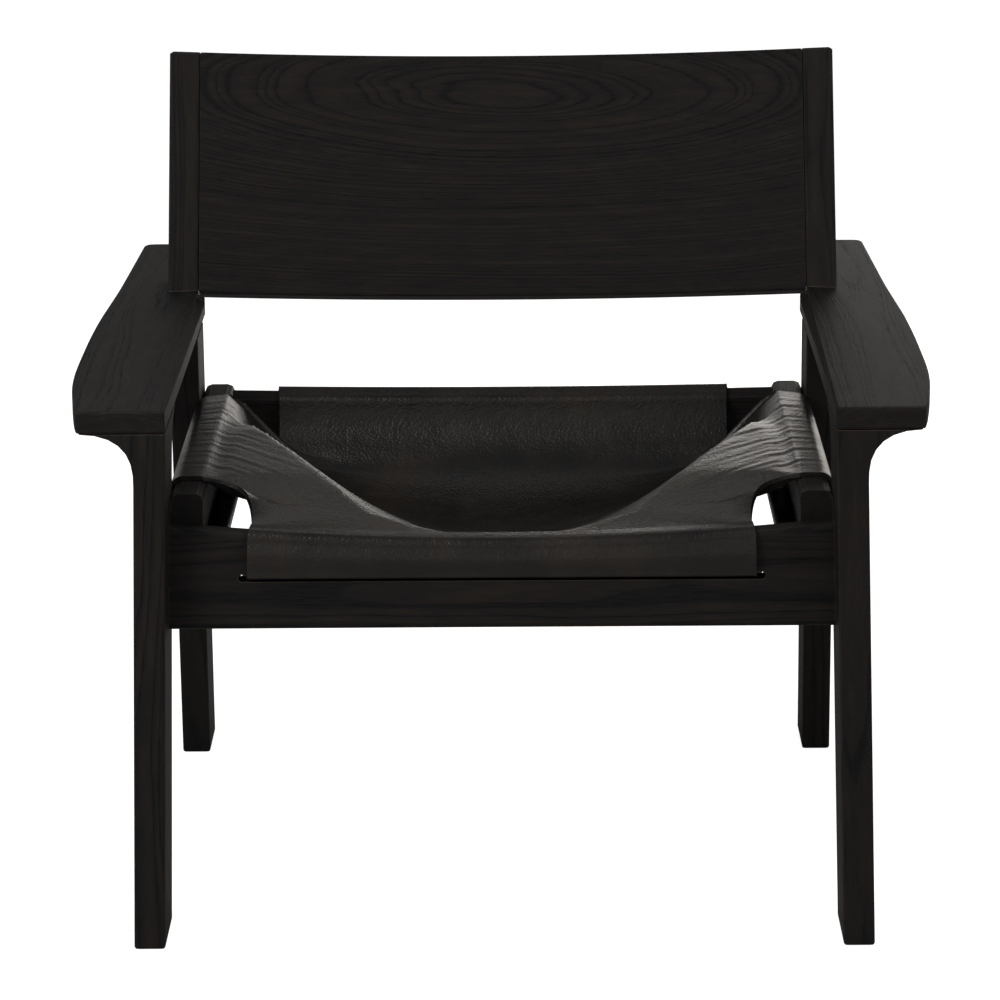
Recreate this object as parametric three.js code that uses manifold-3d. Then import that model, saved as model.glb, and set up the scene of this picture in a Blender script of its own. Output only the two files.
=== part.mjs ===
// Sling lounge chair: two splayed plank side frames with level arms, a concave reclined back panel
// between two stiles, four seat rails, and one leather hide that is draped over the rails, passed
// through a slot in each and held inside by a rod. Millimetres, +Z up, the sitter faces -Y.

import * as THREE from 'three';
import { mergeVertices } from 'three/addons/utils/BufferGeometryUtils.js';
import Module from 'manifold-3d';

const wasm = await Module();
wasm.setup();

// Fits and finishes shared by all pieces.
const gap = 0.3;
const overrun = 6;
const plankEasing = 2.5;

// Side frames: clear width between the feet, outward lean of the planks and their thickness.
const clearWidthAtFloor = 632;
const splayAngle = 1.6;
const legThickness = 29;

// Seat height, to the ends of the front rail, and the arms' height above it.
const seatHeight = 398.5;
const armRise = 117.5;

// Front legs.
const frontLegDepth = 80;
const flareHeight = 50;
const flareOutward = 49;
const flareRearward = 38;
const flareCornerRadius = 16;
const flareHollowShare = 1.3;

// Rear legs, raked so that the foot stands behind the top.
const rearFootSetback = 578;
const rearLegDepth = 77;
const rakeAngle = 20.8;

// Arms.
const armThickness = 21;
const armLength = 764;
const armWidth = 98;
const armRearCorner = 12;
const armFrontCorner = 4;
const armNeckClearance = 2;
const armNeckLength = 20;
const armInnerEasing = 2;
const armInnerEasingRear = 8;
const armOuterShares = [
  [0.04, 0.872], [0.13, 0.955], [0.21, 0.992], [0.3, 1], [0.4, 1], [0.5, 0.985],
  [0.6, 0.952], [0.7, 0.92], [0.85, 0.89],
];
const armFrontWidthShare = 0.82;
const armRearWidthShare = 0.865;
const armNeckShares = [[0, 0], [0.3, 0.12], [0.7, 0.88]];

// Back: a panel between two stiles, hollow towards the sitter.
const backSetback = 513;
const stileSetIn = 8;
const backHeight = 254;
const backRecline = 24;
const backHollow = 27;
const panelThickness = 24;
const stileWidth = 31;
const stileDepthAtTop = 30;
const stileDepthAtArm = 54;
const splineThickness = 6;
const splineWidth = 16;
const splineInset = 26;

// Front rail, scooped along its top.
const frontRailRecess = 38;
const frontRailThickness = 20;
const frontRailHeight = 99.5;
const frontRailScoop = 16;
const railEdge = 5;

// Rear rail, standing in the plane of the rear legs.
const rearRailThickness = 20;
const rearRailHeight = 104;
const rearRailRise = 24.5;
const rearRailScoop = 3;

// Side rails, fixed to the inner faces of the legs.
const sideRailThickness = 30;
const sideRailHeight = 124;
const sideRailRise = 25.5;
const sideRailEdge = 7;

// Slots that the hide passes through.
const slotHeight = 7;
const frontSlotDrop = 50;
const frontSlotInset = 64;
const rearSlotDrop = 52;
const rearSlotInset = 34;
const sideSlotDrop = 52;
const slotEndRoom = 7;

// Hide.
const hideThickness = 4;
const flapSpread = 5;
const sideFlapFrontRoom = 48;
const sideFlapRearRoom = 8;
const sideFlapLegRoom = 6;
const frontLeaveAngle = 38;
const frontHandle = 60;
const rearLeaveAngle = 79.7;
const rearHandle = 145;
const sideLeaveAngle = 38;
const rodDiameter = 10;
const rodWrapAngle = 176;
const rodEndRoom = 5;

// Bowl of the seat, in shares of the way from front to rear: the front corner's end, the side
// flap's end, the rear wall's foot and where the bowl is at its full width. Then its width at the
// front as a share of the full width, the powers of its opening and of its cross-section at the
// front and behind, and how square the front's cut corner is.
const cornerFrontShare = 0.15;
const sideFlapEndShare = 0.816;
const wallFootShare = 0.896;
const bowlFullShare = 0.67;
const bowlFrontShare = 0.405;
const bowlOpeningShare = 1.5;
const bowlFloorShares = [1.5, 3.6];
const bowlRimShares = [1.45, 1.09];
const cornerSquareShare = 0.66;

// Dowels, screws and their holes.
const dowelDiameter = 8;
const dowelLength = 44;
const armDowelDiameter = 10;
const armDowelLength = 40;
const armDowelDepth = 14;
const armDowelSpacing = 40;
const stileDowelSpacing = 22;
const railDowelDepth = 20;
const screwShank = 5;
const screwHead = 10;
const screwHeadHeight = 3.5;
const screwLength = 46;
const screwSink = 1;

// Counts of facets.
const ringCornerSteps = 2;
const flareSteps = 7;
const railStations = 12;
const panelStations = 20;
const roundSides = 16;
const frontCornerRows = 3;
const sideFlapRows = 5;
const rearCornerRows = 3;
const wallRows = 2;
const hideColumns = 8;
const arcSteps = 2;
const crestStep = 33;
const wrapSteps = 6;
const slotEndSteps = 6;

// Values that follow from the sizes above.
const radians = THREE.MathUtils.degToRad;
const splay = Math.tan(radians(splayAngle));
const rake = Math.tan(radians(rakeAngle));
const recline = radians(backRecline);
const armTop = seatHeight + armRise;
const armUnderside = armTop - armThickness;
const armInner = innerFace(armUnderside);
const panelHalf = armInner + stileSetIn;
const backHalf = panelHalf + stileWidth;
const frontRailBottom = seatHeight - frontRailHeight;
const frontRailRear = frontRailRecess + frontRailThickness;
const frontSlotLevel = seatHeight - frontSlotDrop;
const rearRailTop = seatHeight + rearRailRise;
const sideRailTop = seatHeight + sideRailRise;
const sideRailBottom = sideRailTop - sideRailHeight;
const sideSlotLevel = sideRailTop - sideSlotDrop;
const frontSlotHalf = innerFace(frontSlotLevel) - frontSlotInset;
const frontFlapHalf = frontSlotHalf - slotEndRoom - flapSpread;
const rearSlotHalf = innerFace(rearRailTop - rearSlotDrop) - sideRailThickness - rearSlotInset;
const rearFlapHalf = rearSlotHalf - slotEndRoom - flapSpread;
const sideFlapSetback = frontRailRear + sideFlapFrontRoom;
const sideFlapRearEdge = rearLegMiddle(sideRailTop) - rearRailThickness / 2 / Math.cos(radians(rakeAngle))
  - hideThickness - sideFlapRearRoom;
const hideOffset = gap + hideThickness / 2;
const wrapRadius = rodDiameter / 2 + hideOffset;
const wrapOuter = wrapRadius + hideThickness / 2;

const wood = new THREE.MeshStandardMaterial({ color: '#24211f', roughness: 0.62, metalness: 0 });
const leather = new THREE.MeshStandardMaterial({ color: '#151414', roughness: 0.45, metalness: 0 });
const beech = new THREE.MeshStandardMaterial({ color: '#c9a774', roughness: 0.7, metalness: 0 });
const steel = new THREE.MeshStandardMaterial({ color: '#8d8f92', roughness: 0.35, metalness: 1 });

// Inner face of a side frame at height z, measured from the middle plane.
function innerFace(z) {
  return clearWidthAtFloor / 2 - splay * z;
}

// Front edge of a rear leg at height z.
function rearLegFront(z) {
  return rearFootSetback - rake * z;
}

// Middle of a rear leg's depth at height z.
function rearLegMiddle(z) {
  return rearLegFront(z) + rearLegDepth / 2;
}

// Top of the front rail at share s of its half length.
function frontRailTop(s) {
  return seatHeight - frontRailScoop * (1 - s * s);
}

// Closed geometry from points and triangles, with its faces turned outwards.
function closedGeometry(points, triangles) {
  const volume = triangles.reduce((sum, [a, b, c]) => {
    return sum + points[a].dot(new THREE.Vector3().crossVectors(points[b], points[c]));
  }, 0);
  const faces = volume > 0 ? triangles : triangles.map(([a, b, c]) => [a, c, b]);
  const geometry = new THREE.BufferGeometry().setFromPoints(points);
  geometry.setIndex(faces.flat());
  return geometry;
}

// Solid through a row of rings with equal numbers of points, closed by a fan at each end.
function loft(rings) {
  const count = rings[0].length;
  const points = rings.flat();
  const triangles = [];
  for (let i = 0; i < rings.length - 1; i += 1) {
    for (let j = 0; j < count; j += 1) {
      const a = i * count + j;
      const b = i * count + ((j + 1) % count);
      triangles.push([a, b, b + count], [a, b + count, a + count]);
    }
  }
  const ends = [[rings[0], 0, true], [rings.at(-1), (rings.length - 1) * count, false]];
  for (const [ring, start, turn] of ends) {
    const centre = ring.reduce((sum, p) => sum.add(p), new THREE.Vector3()).divideScalar(count);
    const c = points.push(centre) - 1;
    for (let j = 0; j < count; j += 1) {
      const a = start + j;
      const b = start + ((j + 1) % count);
      triangles.push(turn ? [c, b, a] : [c, a, b]);
    }
  }
  return closedGeometry(points, triangles);
}

// Rounded rectangle as a list of [u, v], from its two opposite corners.
function roundedRectangle(u0, v0, u1, v1, radius) {
  const r = Math.min(radius, (u1 - u0) / 2, (v1 - v0) / 2);
  const corners = [[u1 - r, v1 - r, 0], [u0 + r, v1 - r, 1], [u0 + r, v0 + r, 2], [u1 - r, v0 + r, 3]];
  return corners.flatMap(([u, v, quarter]) => {
    return Array.from({ length: ringCornerSteps + 1 }, (_, k) => {
      const angle = ((quarter + k / ringCornerSteps) * Math.PI) / 2;
      return [u + r * Math.cos(angle), v + r * Math.sin(angle)];
    });
  });
}

// A geometry reflected in the middle plane.
function mirrored(geometry) {
  const copy = geometry.clone().scale(-1, 1, 1);
  const index = copy.index.array;
  for (let i = 0; i < index.length; i += 3) {
    [index[i], index[i + 1]] = [index[i + 1], index[i]];
  }
  return copy;
}

// Solid for cutting, with only its positions kept.
function toSolid(geometry) {
  const merged = mergeVertices(indexed(stripped(geometry)));
  return new wasm.Manifold(new wasm.Mesh({
    numProp: 3,
    vertProperties: new Float32Array(merged.attributes.position.array),
    triVerts: new Uint32Array(merged.index.array),
  }));
}

// A geometry with a list of cutters taken away.
function cut(geometry, cutters) {
  const result = cutters.reduce((solid, cutter) => solid.subtract(toSolid(cutter)), toSolid(geometry));
  const mesh = result.getMesh();
  const out = new THREE.BufferGeometry();
  out.setAttribute('position', new THREE.BufferAttribute(new Float32Array(mesh.vertProperties), 3));
  out.setIndex(Array.from(mesh.triVerts));
  return out;
}

// Round bar along X or Z, centred at a point.
function roundBar(diameter, length, axis, centre) {
  const bar = new THREE.CylinderGeometry(diameter / 2, diameter / 2, length, roundSides);
  if (axis === 'x') bar.rotateZ(Math.PI / 2);
  if (axis === 'z') bar.rotateX(Math.PI / 2);
  return bar.translate(centre.x, centre.y, centre.z);
}

// Hole for a round bar: the same bar with the gap all round.
function holeFor(bar) {
  return roundBar(bar.diameter + 2 * gap, bar.length + 2 * gap, bar.axis, bar.centre);
}

// Cutter for a slot with drilled round ends. The basis holds its long axis, the axis of its height and
// the direction that it cuts in.
function slotCutter(length, depth, basis, centre) {
  const r = slotHeight / 2;
  const half = length / 2 - r;
  const shape = new THREE.Shape();
  shape.moveTo(-half, -r);
  shape.lineTo(half, -r);
  shape.absarc(half, 0, r, -Math.PI / 2, Math.PI / 2, false);
  shape.lineTo(-half, r);
  shape.absarc(-half, 0, r, Math.PI / 2, (3 * Math.PI) / 2, false);
  const bar = new THREE.ExtrudeGeometry(shape, { depth, bevelEnabled: false, curveSegments: slotEndSteps });
  bar.translate(0, 0, -depth / 2);
  bar.applyMatrix4(new THREE.Matrix4().makeBasis(...basis));
  return bar.translate(centre.x, centre.y, centre.z);
}

const axisX = new THREE.Vector3(1, 0, 0);
const axisY = new THREE.Vector3(0, 1, 0);
const axisZ = new THREE.Vector3(0, 0, 1);

// Basis of a slot through the front or the rear rail.
const throughRail = [axisX, axisZ, axisY.clone().negate()];

// Dowels, placed on the right-hand side; the left-hand ones are their reflections.
function dowelsUnderArm(name, middle, spacing, x, riseAbove, z) {
  const length = armDowelLength;
  return [-1, 1].map((end, i) => ({
    name: `${name}_${i + 1}`,
    axis: 'z',
    diameter: armDowelDiameter,
    length,
    centre: new THREE.Vector3(x, middle + (end * spacing) / 2, z + riseAbove - length / 2),
  }));
}

const legCentreAtArm = armInner + legThickness / 2;
const frontLegDowels = dowelsUnderArm('front_leg_dowel', frontLegDepth / 2, armDowelSpacing,
  legCentreAtArm, armDowelDepth, armUnderside);
const rearLegDowels = dowelsUnderArm('rear_leg_dowel', rearLegMiddle(armUnderside), armDowelSpacing,
  legCentreAtArm, armDowelDepth, armUnderside);
const stileCentre = backHalf - stileWidth / 2;
const stileDowelRise = armDowelLength - armDowelDepth;
const stileDowelMiddle = backSetback + stileDepthAtArm / 2 / Math.cos(recline)
  + (stileDowelRise / 2) * Math.tan(recline);
const stileDowels = dowelsUnderArm('stile_dowel', stileDowelMiddle, stileDowelSpacing, stileCentre,
  stileDowelRise, armTop);

// Dowels that run across from a rail's end into the plank beside it.
function railDowel(name, face, y, z) {
  return {
    name,
    axis: 'x',
    diameter: dowelDiameter,
    length: dowelLength,
    centre: new THREE.Vector3(face + railDowelDepth - dowelLength / 2, y, z),
  };
}

const frontSlotTop = frontSlotLevel + slotHeight / 2;
const frontRailMiddle = frontRailRecess + frontRailThickness / 2;
const frontDowelLevels = [
  (seatHeight - railEdge + frontSlotTop) / 2,
  (frontRailBottom + railEdge + frontSlotLevel - slotHeight) / 2,
];
const frontRailDowels = frontDowelLevels.map((z, i) => {
  return railDowel(`front_rail_dowel_${i + 1}`, innerFace(z), frontRailMiddle, z);
});

// Frame of the rear rail: x across, y to the rear face, z up along the rake, origin at its top middle.
const rearRailFrame = new THREE.Matrix4()
  .makeTranslation(0, rearLegMiddle(rearRailTop), rearRailTop)
  .multiply(new THREE.Matrix4().makeRotationX(radians(rakeAngle)));

function rearRailPoint(x, y, z) {
  return new THREE.Vector3(x, y, z).applyMatrix4(rearRailFrame);
}

const rearDowelDrops = [rearSlotDrop / 2, (rearSlotDrop + rearRailHeight) / 2];
const rearRailDowels = rearDowelDrops.map((drop, i) => {
  const p = rearRailPoint(0, 0, -drop);
  return railDowel(`rear_rail_dowel_${i + 1}`, innerFace(p.z) - gap - sideRailThickness, p.y, p.z);
});

// Screws through the side rails into the legs: at the front leg one above the other, at the rear leg
// one on each side of the rear rail.
const screwLevels = [
  sideRailTop - sideSlotDrop / 2,
  (sideRailBottom + sideRailTop - sideSlotDrop) / 2,
];
const frontScrewSetback = (frontRailRear + frontLegDepth) / 2;
const rearScrewReach = (rearLegDepth + rearRailThickness) / 4 + screwSink;
const screws = [
  [frontScrewSetback, screwLevels[0]],
  [frontScrewSetback, screwLevels[1]],
  [rearLegMiddle(screwLevels[0]) + rearScrewReach, screwLevels[0]],
  [rearLegMiddle(screwLevels[1]) - rearScrewReach, screwLevels[1]],
].map(([y, z], i) => ({
  name: `side_rail_screw_${i + 1}`,
  seat: new THREE.Vector3(innerFace(z) - gap - sideRailThickness + screwSink, y, z),
}));

// Countersunk screw turned about its axis, head at the seat and pointing along +X.
function screwGeometry(screw, clearance) {
  const head = screwHead / 2 + clearance;
  const shank = screwShank / 2 + clearance;
  const start = clearance > 0 ? -screwSink - overrun : 0;
  const end = screwLength + clearance;
  const profile = [
    [0, start], [head, start], [head, 0], [shank, screwHeadHeight + clearance],
    [shank, end - screwShank], [0, end],
  ].filter(([, along], i, all) => i === 0 || along !== all[i - 1][1] || all[i][0] !== all[i - 1][0]);
  const body = new THREE.LatheGeometry(profile.map(([r, h]) => new THREE.Vector2(r, h)), roundSides);
  body.rotateZ(-Math.PI / 2);
  body.translate(screw.seat.x, screw.seat.y, screw.seat.z);
  const merged = mergeVertices(stripped(body));
  return closedGeometry(pointsOf(merged), trianglesOf(merged));
}

function stripped(geometry) {
  const bare = geometry.clone();
  bare.deleteAttribute('normal');
  bare.deleteAttribute('uv');
  return bare;
}

function pointsOf(geometry) {
  const { position } = geometry.attributes;
  return Array.from({ length: position.count }, (_, i) => {
    return new THREE.Vector3().fromBufferAttribute(position, i);
  });
}

// Triangles of an indexed geometry, without those that have collapsed to a line.
function trianglesOf(geometry) {
  const index = Array.from(geometry.index.array);
  return Array.from({ length: index.length / 3 }, (_, i) => index.slice(3 * i, 3 * i + 3))
    .filter(([a, b, c]) => a !== b && b !== c && a !== c);
}

// Rings that ease the foot of a leg: each gives its height and how far it is drawn in.
function footRings() {
  return [0, 0.5, 1].map((share) => {
    const angle = (share * Math.PI) / 2;
    return { z: plankEasing * (1 - Math.cos(angle)), inset: plankEasing * (1 - Math.sin(angle)) };
  });
}

// Front leg: an upright plank that flares outward and rearward into the arm's underside.
function frontLeg() {
  const top = armUnderside - gap;
  const straight = footRings().map(({ z, inset }) => ({ z, inset, flare: 0 }));
  const flared = Array.from({ length: flareSteps + 1 }, (_, k) => {
    const angle = (k / flareSteps) * (Math.PI / 2);
    const flare = (1 - Math.cos(angle)) ** flareHollowShare;
    return { z: top - flareHeight * (1 - Math.sin(angle)), inset: 0, flare };
  });
  const rings = [...straight, ...flared].map(({ z, inset, flare }) => {
    const x0 = innerFace(z) + inset;
    const x1 = innerFace(z) + legThickness - inset + flareOutward * flare;
    const y1 = frontLegDepth - inset + flareRearward * flare;
    const radius = plankEasing + (flareCornerRadius - plankEasing) * flare;
    return legRing(x0, inset, x1, y1, radius).map(([x, y]) => new THREE.Vector3(x, y, z));
  });
  const holes = [...frontLegDowels, ...frontRailDowels].map(holeFor);
  return cut(loft(rings), [...holes, ...screws.slice(0, 2).map((s) => screwGeometry(s, gap))]);
}

// Section of a leg whose outer rear corner alone takes the large radius.
function legRing(x0, y0, x1, y1, radius) {
  const small = roundedRectangle(x0, y0, x1, y1, plankEasing);
  const large = roundedRectangle(x0, y0, x1, y1, radius);
  const corner = ringCornerSteps + 1;
  return [...large.slice(0, corner), ...small.slice(corner)];
}

// Rear leg: a raked plank from the floor to the arm's underside.
function rearLeg() {
  const top = armUnderside - gap;
  const rings = [...footRings(), { z: top, inset: 0 }].map(({ z, inset }) => {
    const front = rearLegFront(z);
    return roundedRectangle(innerFace(z) + inset, front + inset, innerFace(z) + legThickness - inset,
      front + rearLegDepth - inset, plankEasing).map(([x, y]) => new THREE.Vector3(x, y, z));
  });
  const holes = rearLegDowels.map(holeFor);
  return cut(loft(rings), [...holes, ...screws.slice(2).map((s) => screwGeometry(s, gap))]);
}

// Wedge that eases the arm's inner top edge, more towards the back.
function armEasing(length) {
  const rings = [0, 1].map((share) => {
    const size = armInnerEasing + (armInnerEasingRear - armInnerEasing) * share;
    const y = share * length + (share - 1) * overrun;
    return [
      new THREE.Vector3(armInner - overrun, y, armTop + overrun),
      new THREE.Vector3(armInner - overrun, y, armTop - size - overrun),
      new THREE.Vector3(armInner + size + overrun, y, armTop + overrun),
    ];
  });
  return loft(rings);
}

// Arm: a level board whose outer edge swells behind the front and whose inner edge steps back beside
// the panel.
function arm() {
  const neck = panelHalf + armNeckClearance - armInner;
  const neckStart = backSetback - armNeckLength;
  const outer = armOuterShares.map(([along, across]) => {
    return new THREE.Vector2(armInner + armWidth * across, armLength * along);
  });
  const inner = armNeckShares.map(([along, share]) => {
    return new THREE.Vector2(armInner + neck * share, neckStart + armNeckLength * along);
  });
  const frontOuter = armInner + armWidth * armFrontWidthShare;
  const rearOuter = armInner + armWidth * armRearWidthShare;
  const shape = new THREE.Shape();
  shape.moveTo(armInner + armFrontCorner, 0);
  shape.lineTo(frontOuter - armFrontCorner, 0);
  shape.quadraticCurveTo(frontOuter, 0, frontOuter + armFrontCorner / 4, armFrontCorner);
  shape.splineThru([...outer, new THREE.Vector2(rearOuter, armLength - armRearCorner)]);
  shape.quadraticCurveTo(rearOuter, armLength, rearOuter - armRearCorner, armLength);
  shape.lineTo(armInner + neck + armFrontCorner, armLength);
  shape.quadraticCurveTo(armInner + neck, armLength, armInner + neck, armLength - armFrontCorner);
  shape.lineTo(armInner + neck, backSetback);
  shape.splineThru(inner.reverse());
  shape.lineTo(armInner, armFrontCorner);
  shape.quadraticCurveTo(armInner, 0, armInner + armFrontCorner, 0);
  const board = new THREE.ExtrudeGeometry(shape, {
    depth: armThickness - 2 * plankEasing,
    bevelThickness: plankEasing,
    bevelSize: plankEasing,
    bevelOffset: -plankEasing,
    bevelSegments: 2,
    curveSegments: 3,
  });
  board.translate(0, 0, armUnderside + plankEasing);
  const holes = [...frontLegDowels, ...rearLegDowels, ...stileDowels].map(holeFor);
  return cut(board, [armEasing(neckStart), ...holes]);
}

// Frame of the back: x across, y square to the panel and rearward, z up the slope.
const backFrame = new THREE.Matrix4()
  .makeTranslation(0, backSetback, armTop)
  .multiply(new THREE.Matrix4().makeRotationX(-recline));

// Depth of the hollow in the back's face at x from the middle.
function faceDepth(x) {
  return backHollow * (1 - (x / backHalf) ** 2);
}

// Spline that joins a stile to the panel, in the frame of the back.
function backSpline(clearance) {
  const length = backHeight - 2 * splineInset;
  const bar = new THREE.BoxGeometry(splineWidth + 2 * clearance, splineThickness + 2 * clearance,
    length + 2 * clearance);
  return bar.translate(panelHalf, faceDepth(panelHalf) + panelThickness / 2, backHeight / 2)
    .applyMatrix4(backFrame);
}

// Back panel: a board bent to the hollow, its grain across.
function backPanel() {
  const half = panelHalf - gap / 2;
  const stations = Array.from({ length: panelStations + 1 }, (_, k) => half * ((2 * k) / panelStations - 1));
  const front = stations.map((x) => new THREE.Vector2(x, faceDepth(x)));
  const rear = stations.map((x) => new THREE.Vector2(x, faceDepth(x) + panelThickness)).reverse();
  const board = new THREE.ExtrudeGeometry(new THREE.Shape([...front, ...rear]), {
    depth: backHeight - 2 * plankEasing,
    bevelThickness: plankEasing,
    bevelSize: plankEasing,
    bevelOffset: -plankEasing,
    bevelSegments: 2,
  });
  board.translate(0, 0, plankEasing).applyMatrix4(backFrame);
  const groove = backSpline(gap);
  return cut(board, [groove, mirrored(groove)]);
}

// Stile: an upright at the panel's end, deeper at the arm, its foot cut to the arm's top.
function backStile() {
  const x0 = panelHalf + gap / 2;
  const x1 = backHalf;
  const levels = [
    { up: 0, inset: 0 },
    { up: 1 - plankEasing / backHeight, inset: 0 },
    { up: 1, inset: plankEasing },
  ];
  const rings = levels.map(({ up, inset }) => {
    const depth = stileDepthAtArm + (stileDepthAtTop - stileDepthAtArm) * up - inset;
    const section = roundedRectangle(x0, inset, x1 - inset, depth, plankEasing);
    return section.map(([x, y]) => {
      const back = y + faceDepth(x) * (1 - y / depth);
      const foot = (gap + back * Math.sin(recline)) / Math.cos(recline);
      return new THREE.Vector3(x, back, foot + (backHeight - foot) * up).applyMatrix4(backFrame);
    });
  });
  return cut(loft(rings), [backSpline(gap), ...stileDowels.map(holeFor)]);
}

// Front rail: a plank between the front legs with a scooped top and the slot for the front flap.
function frontRail() {
  const rings = Array.from({ length: railStations + 1 }, (_, k) => {
    const s = (2 * k) / railStations - 1;
    const top = frontRailTop(s);
    const section = roundedRectangle(frontRailRecess, frontRailBottom, frontRailRear, top, railEdge);
    return section.map(([y, z]) => new THREE.Vector3(s * (innerFace(z) - gap), y, z));
  });
  const slot = slotCutter(2 * frontSlotHalf, frontRailThickness + 2 * overrun, throughRail,
    new THREE.Vector3(0, frontRailMiddle, frontSlotLevel));
  const holes = frontRailDowels.map(holeFor);
  return cut(loft(rings), [slot, ...holes, ...holes.map((h) => mirrored(indexed(h)))]);
}

function indexed(geometry) {
  return geometry.index ? geometry : mergeVertices(geometry);
}

// Rear rail: a plank between the side rails, raked with the rear legs.
function rearRail() {
  const half = rearRailThickness / 2;
  const rings = Array.from({ length: railStations + 1 }, (_, k) => {
    const s = (2 * k) / railStations - 1;
    const section = roundedRectangle(-half, -rearRailHeight, half, -rearRailScoop * (1 - s * s), railEdge);
    return section.map(([y, z]) => {
      const p = rearRailPoint(0, y, z);
      p.x = s * (innerFace(p.z) - 2 * gap - sideRailThickness);
      return p;
    });
  });
  const slot = slotCutter(2 * rearSlotHalf, rearRailThickness + 2 * overrun, throughRail,
    new THREE.Vector3(0, 0, -rearSlotDrop)).applyMatrix4(rearRailFrame);
  const holes = rearRailDowels.map(holeFor);
  return cut(loft(rings), [slot, ...holes, ...holes.map((h) => mirrored(indexed(h)))]);
}

// Rear edge of a side flap where the hide hangs at height z outside the rail.
function sideFlapRear(z) {
  return rearLegFront(z) - sideFlapLegRoom;
}

// Side rail: a plank on the legs' inner faces, from the front rail to the rear leg's rear edge.
function sideRail() {
  const rings = [0, 1].map((s) => {
    const section = roundedRectangle(-sideRailThickness, sideRailBottom, 0, sideRailTop, sideRailEdge);
    return section.map(([x, z]) => {
      const front = frontRailRear + gap;
      const rear = rearLegFront(z) + rearLegDepth;
      return new THREE.Vector3(innerFace(z) - gap + x, front + (rear - front) * s, z);
    });
  });
  const from = sideFlapSetback - slotEndRoom;
  const to = sideFlapRear(sideSlotLevel) + slotEndRoom;
  const slot = slotCutter(to - from, sideRailThickness + 2 * overrun, [axisY, axisZ, axisX],
    new THREE.Vector3(innerFace(sideSlotLevel) - sideRailThickness / 2, (from + to) / 2, sideSlotLevel));
  const holes = [...rearRailDowels.map(holeFor), ...screws.map((s) => screwGeometry(s, gap))];
  return cut(loft(rings), [slot, ...holes]);
}

// Way of the hide round a rail, as [out, z] with out measured outward from the rail's outer face:
// from where it leaves the crest inside, over the top, down the outer face, in through the slot and
// round the rod.
function hideWay({ thickness, edge, top, slotTop, leave }) {
  const way = [];
  const arc = (cx, cz, radius, from, to, steps) => {
    for (let k = 0; k <= steps; k += 1) {
      const angle = radians(from + ((to - from) * k) / steps);
      way.push([cx + radius * Math.sin(angle), cz + radius * Math.cos(angle)]);
    }
  };
  arc(edge - thickness, top - edge, edge + hideOffset, -leave, 0, Math.ceil(leave / crestStep));
  arc(-edge, top - edge, edge + hideOffset, 0, 90, arcSteps);
  arc(0, slotTop, hideOffset, 90, 180, arcSteps);
  arc(rodOut(thickness), slotTop - hideOffset - wrapRadius, wrapRadius, 0, -rodWrapAngle, wrapSteps);
  return way;
}

// Centre of a rod inside a rail, measured outward from the rail's outer face.
function rodOut(thickness) {
  return -thickness - gap - wrapOuter;
}

// Points of the front way at x, from the rod to the crest.
function frontWay(x) {
  const s = x / (innerFace(seatHeight) - gap);
  return hideWay({
    thickness: frontRailThickness,
    edge: railEdge,
    top: frontRailTop(s),
    slotTop: frontSlotTop,
    leave: frontLeaveAngle,
  });
}

// Points of the rear way at x, in the frame of the rear rail.
function rearWay(x) {
  const s = x / (innerFace(rearRailTop) - gap - sideRailThickness);
  return hideWay({
    thickness: rearRailThickness,
    edge: railEdge,
    top: -rearRailScoop * (1 - s * s),
    slotTop: slotHeight / 2 - rearSlotDrop,
    leave: rearLeaveAngle + rakeAngle,
  });
}

const sideWay = hideWay({
  thickness: sideRailThickness,
  edge: sideRailEdge,
  top: sideRailTop,
  slotTop: sideSlotLevel + slotHeight / 2,
  leave: sideLeaveAngle,
});

const sideCrest = new THREE.Vector2(innerFace(sideWay[0][1]) - gap + sideWay[0][0], sideWay[0][1]);

function smooth(from, to, value) {
  return THREE.MathUtils.smoothstep((value - from) / (to - from), 0, 1);
}

// Middle line of the bowl at x: a curve between the crests of the front and the rear rail, in the
// plane of y and z.
function middleLine(x) {
  const frontOut = frontWay(x)[0];
  const front = new THREE.Vector2(frontRailRecess - frontOut[0], frontOut[1]);
  const rearOut = rearWay(x)[0];
  const rearCrest = rearRailPoint(0, rearRailThickness / 2 + rearOut[0], rearOut[1]);
  const rear = new THREE.Vector2(rearCrest.y, rearCrest.z);
  const a = radians(frontLeaveAngle);
  const b = radians(rearLeaveAngle);
  return new THREE.CubicBezierCurve(
    front,
    new THREE.Vector2(front.x + frontHandle * Math.cos(a), front.y - frontHandle * Math.sin(a)),
    new THREE.Vector2(rear.x - rearHandle * Math.cos(b), rear.y - rearHandle * Math.sin(b)),
    rear,
  );
}

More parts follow.
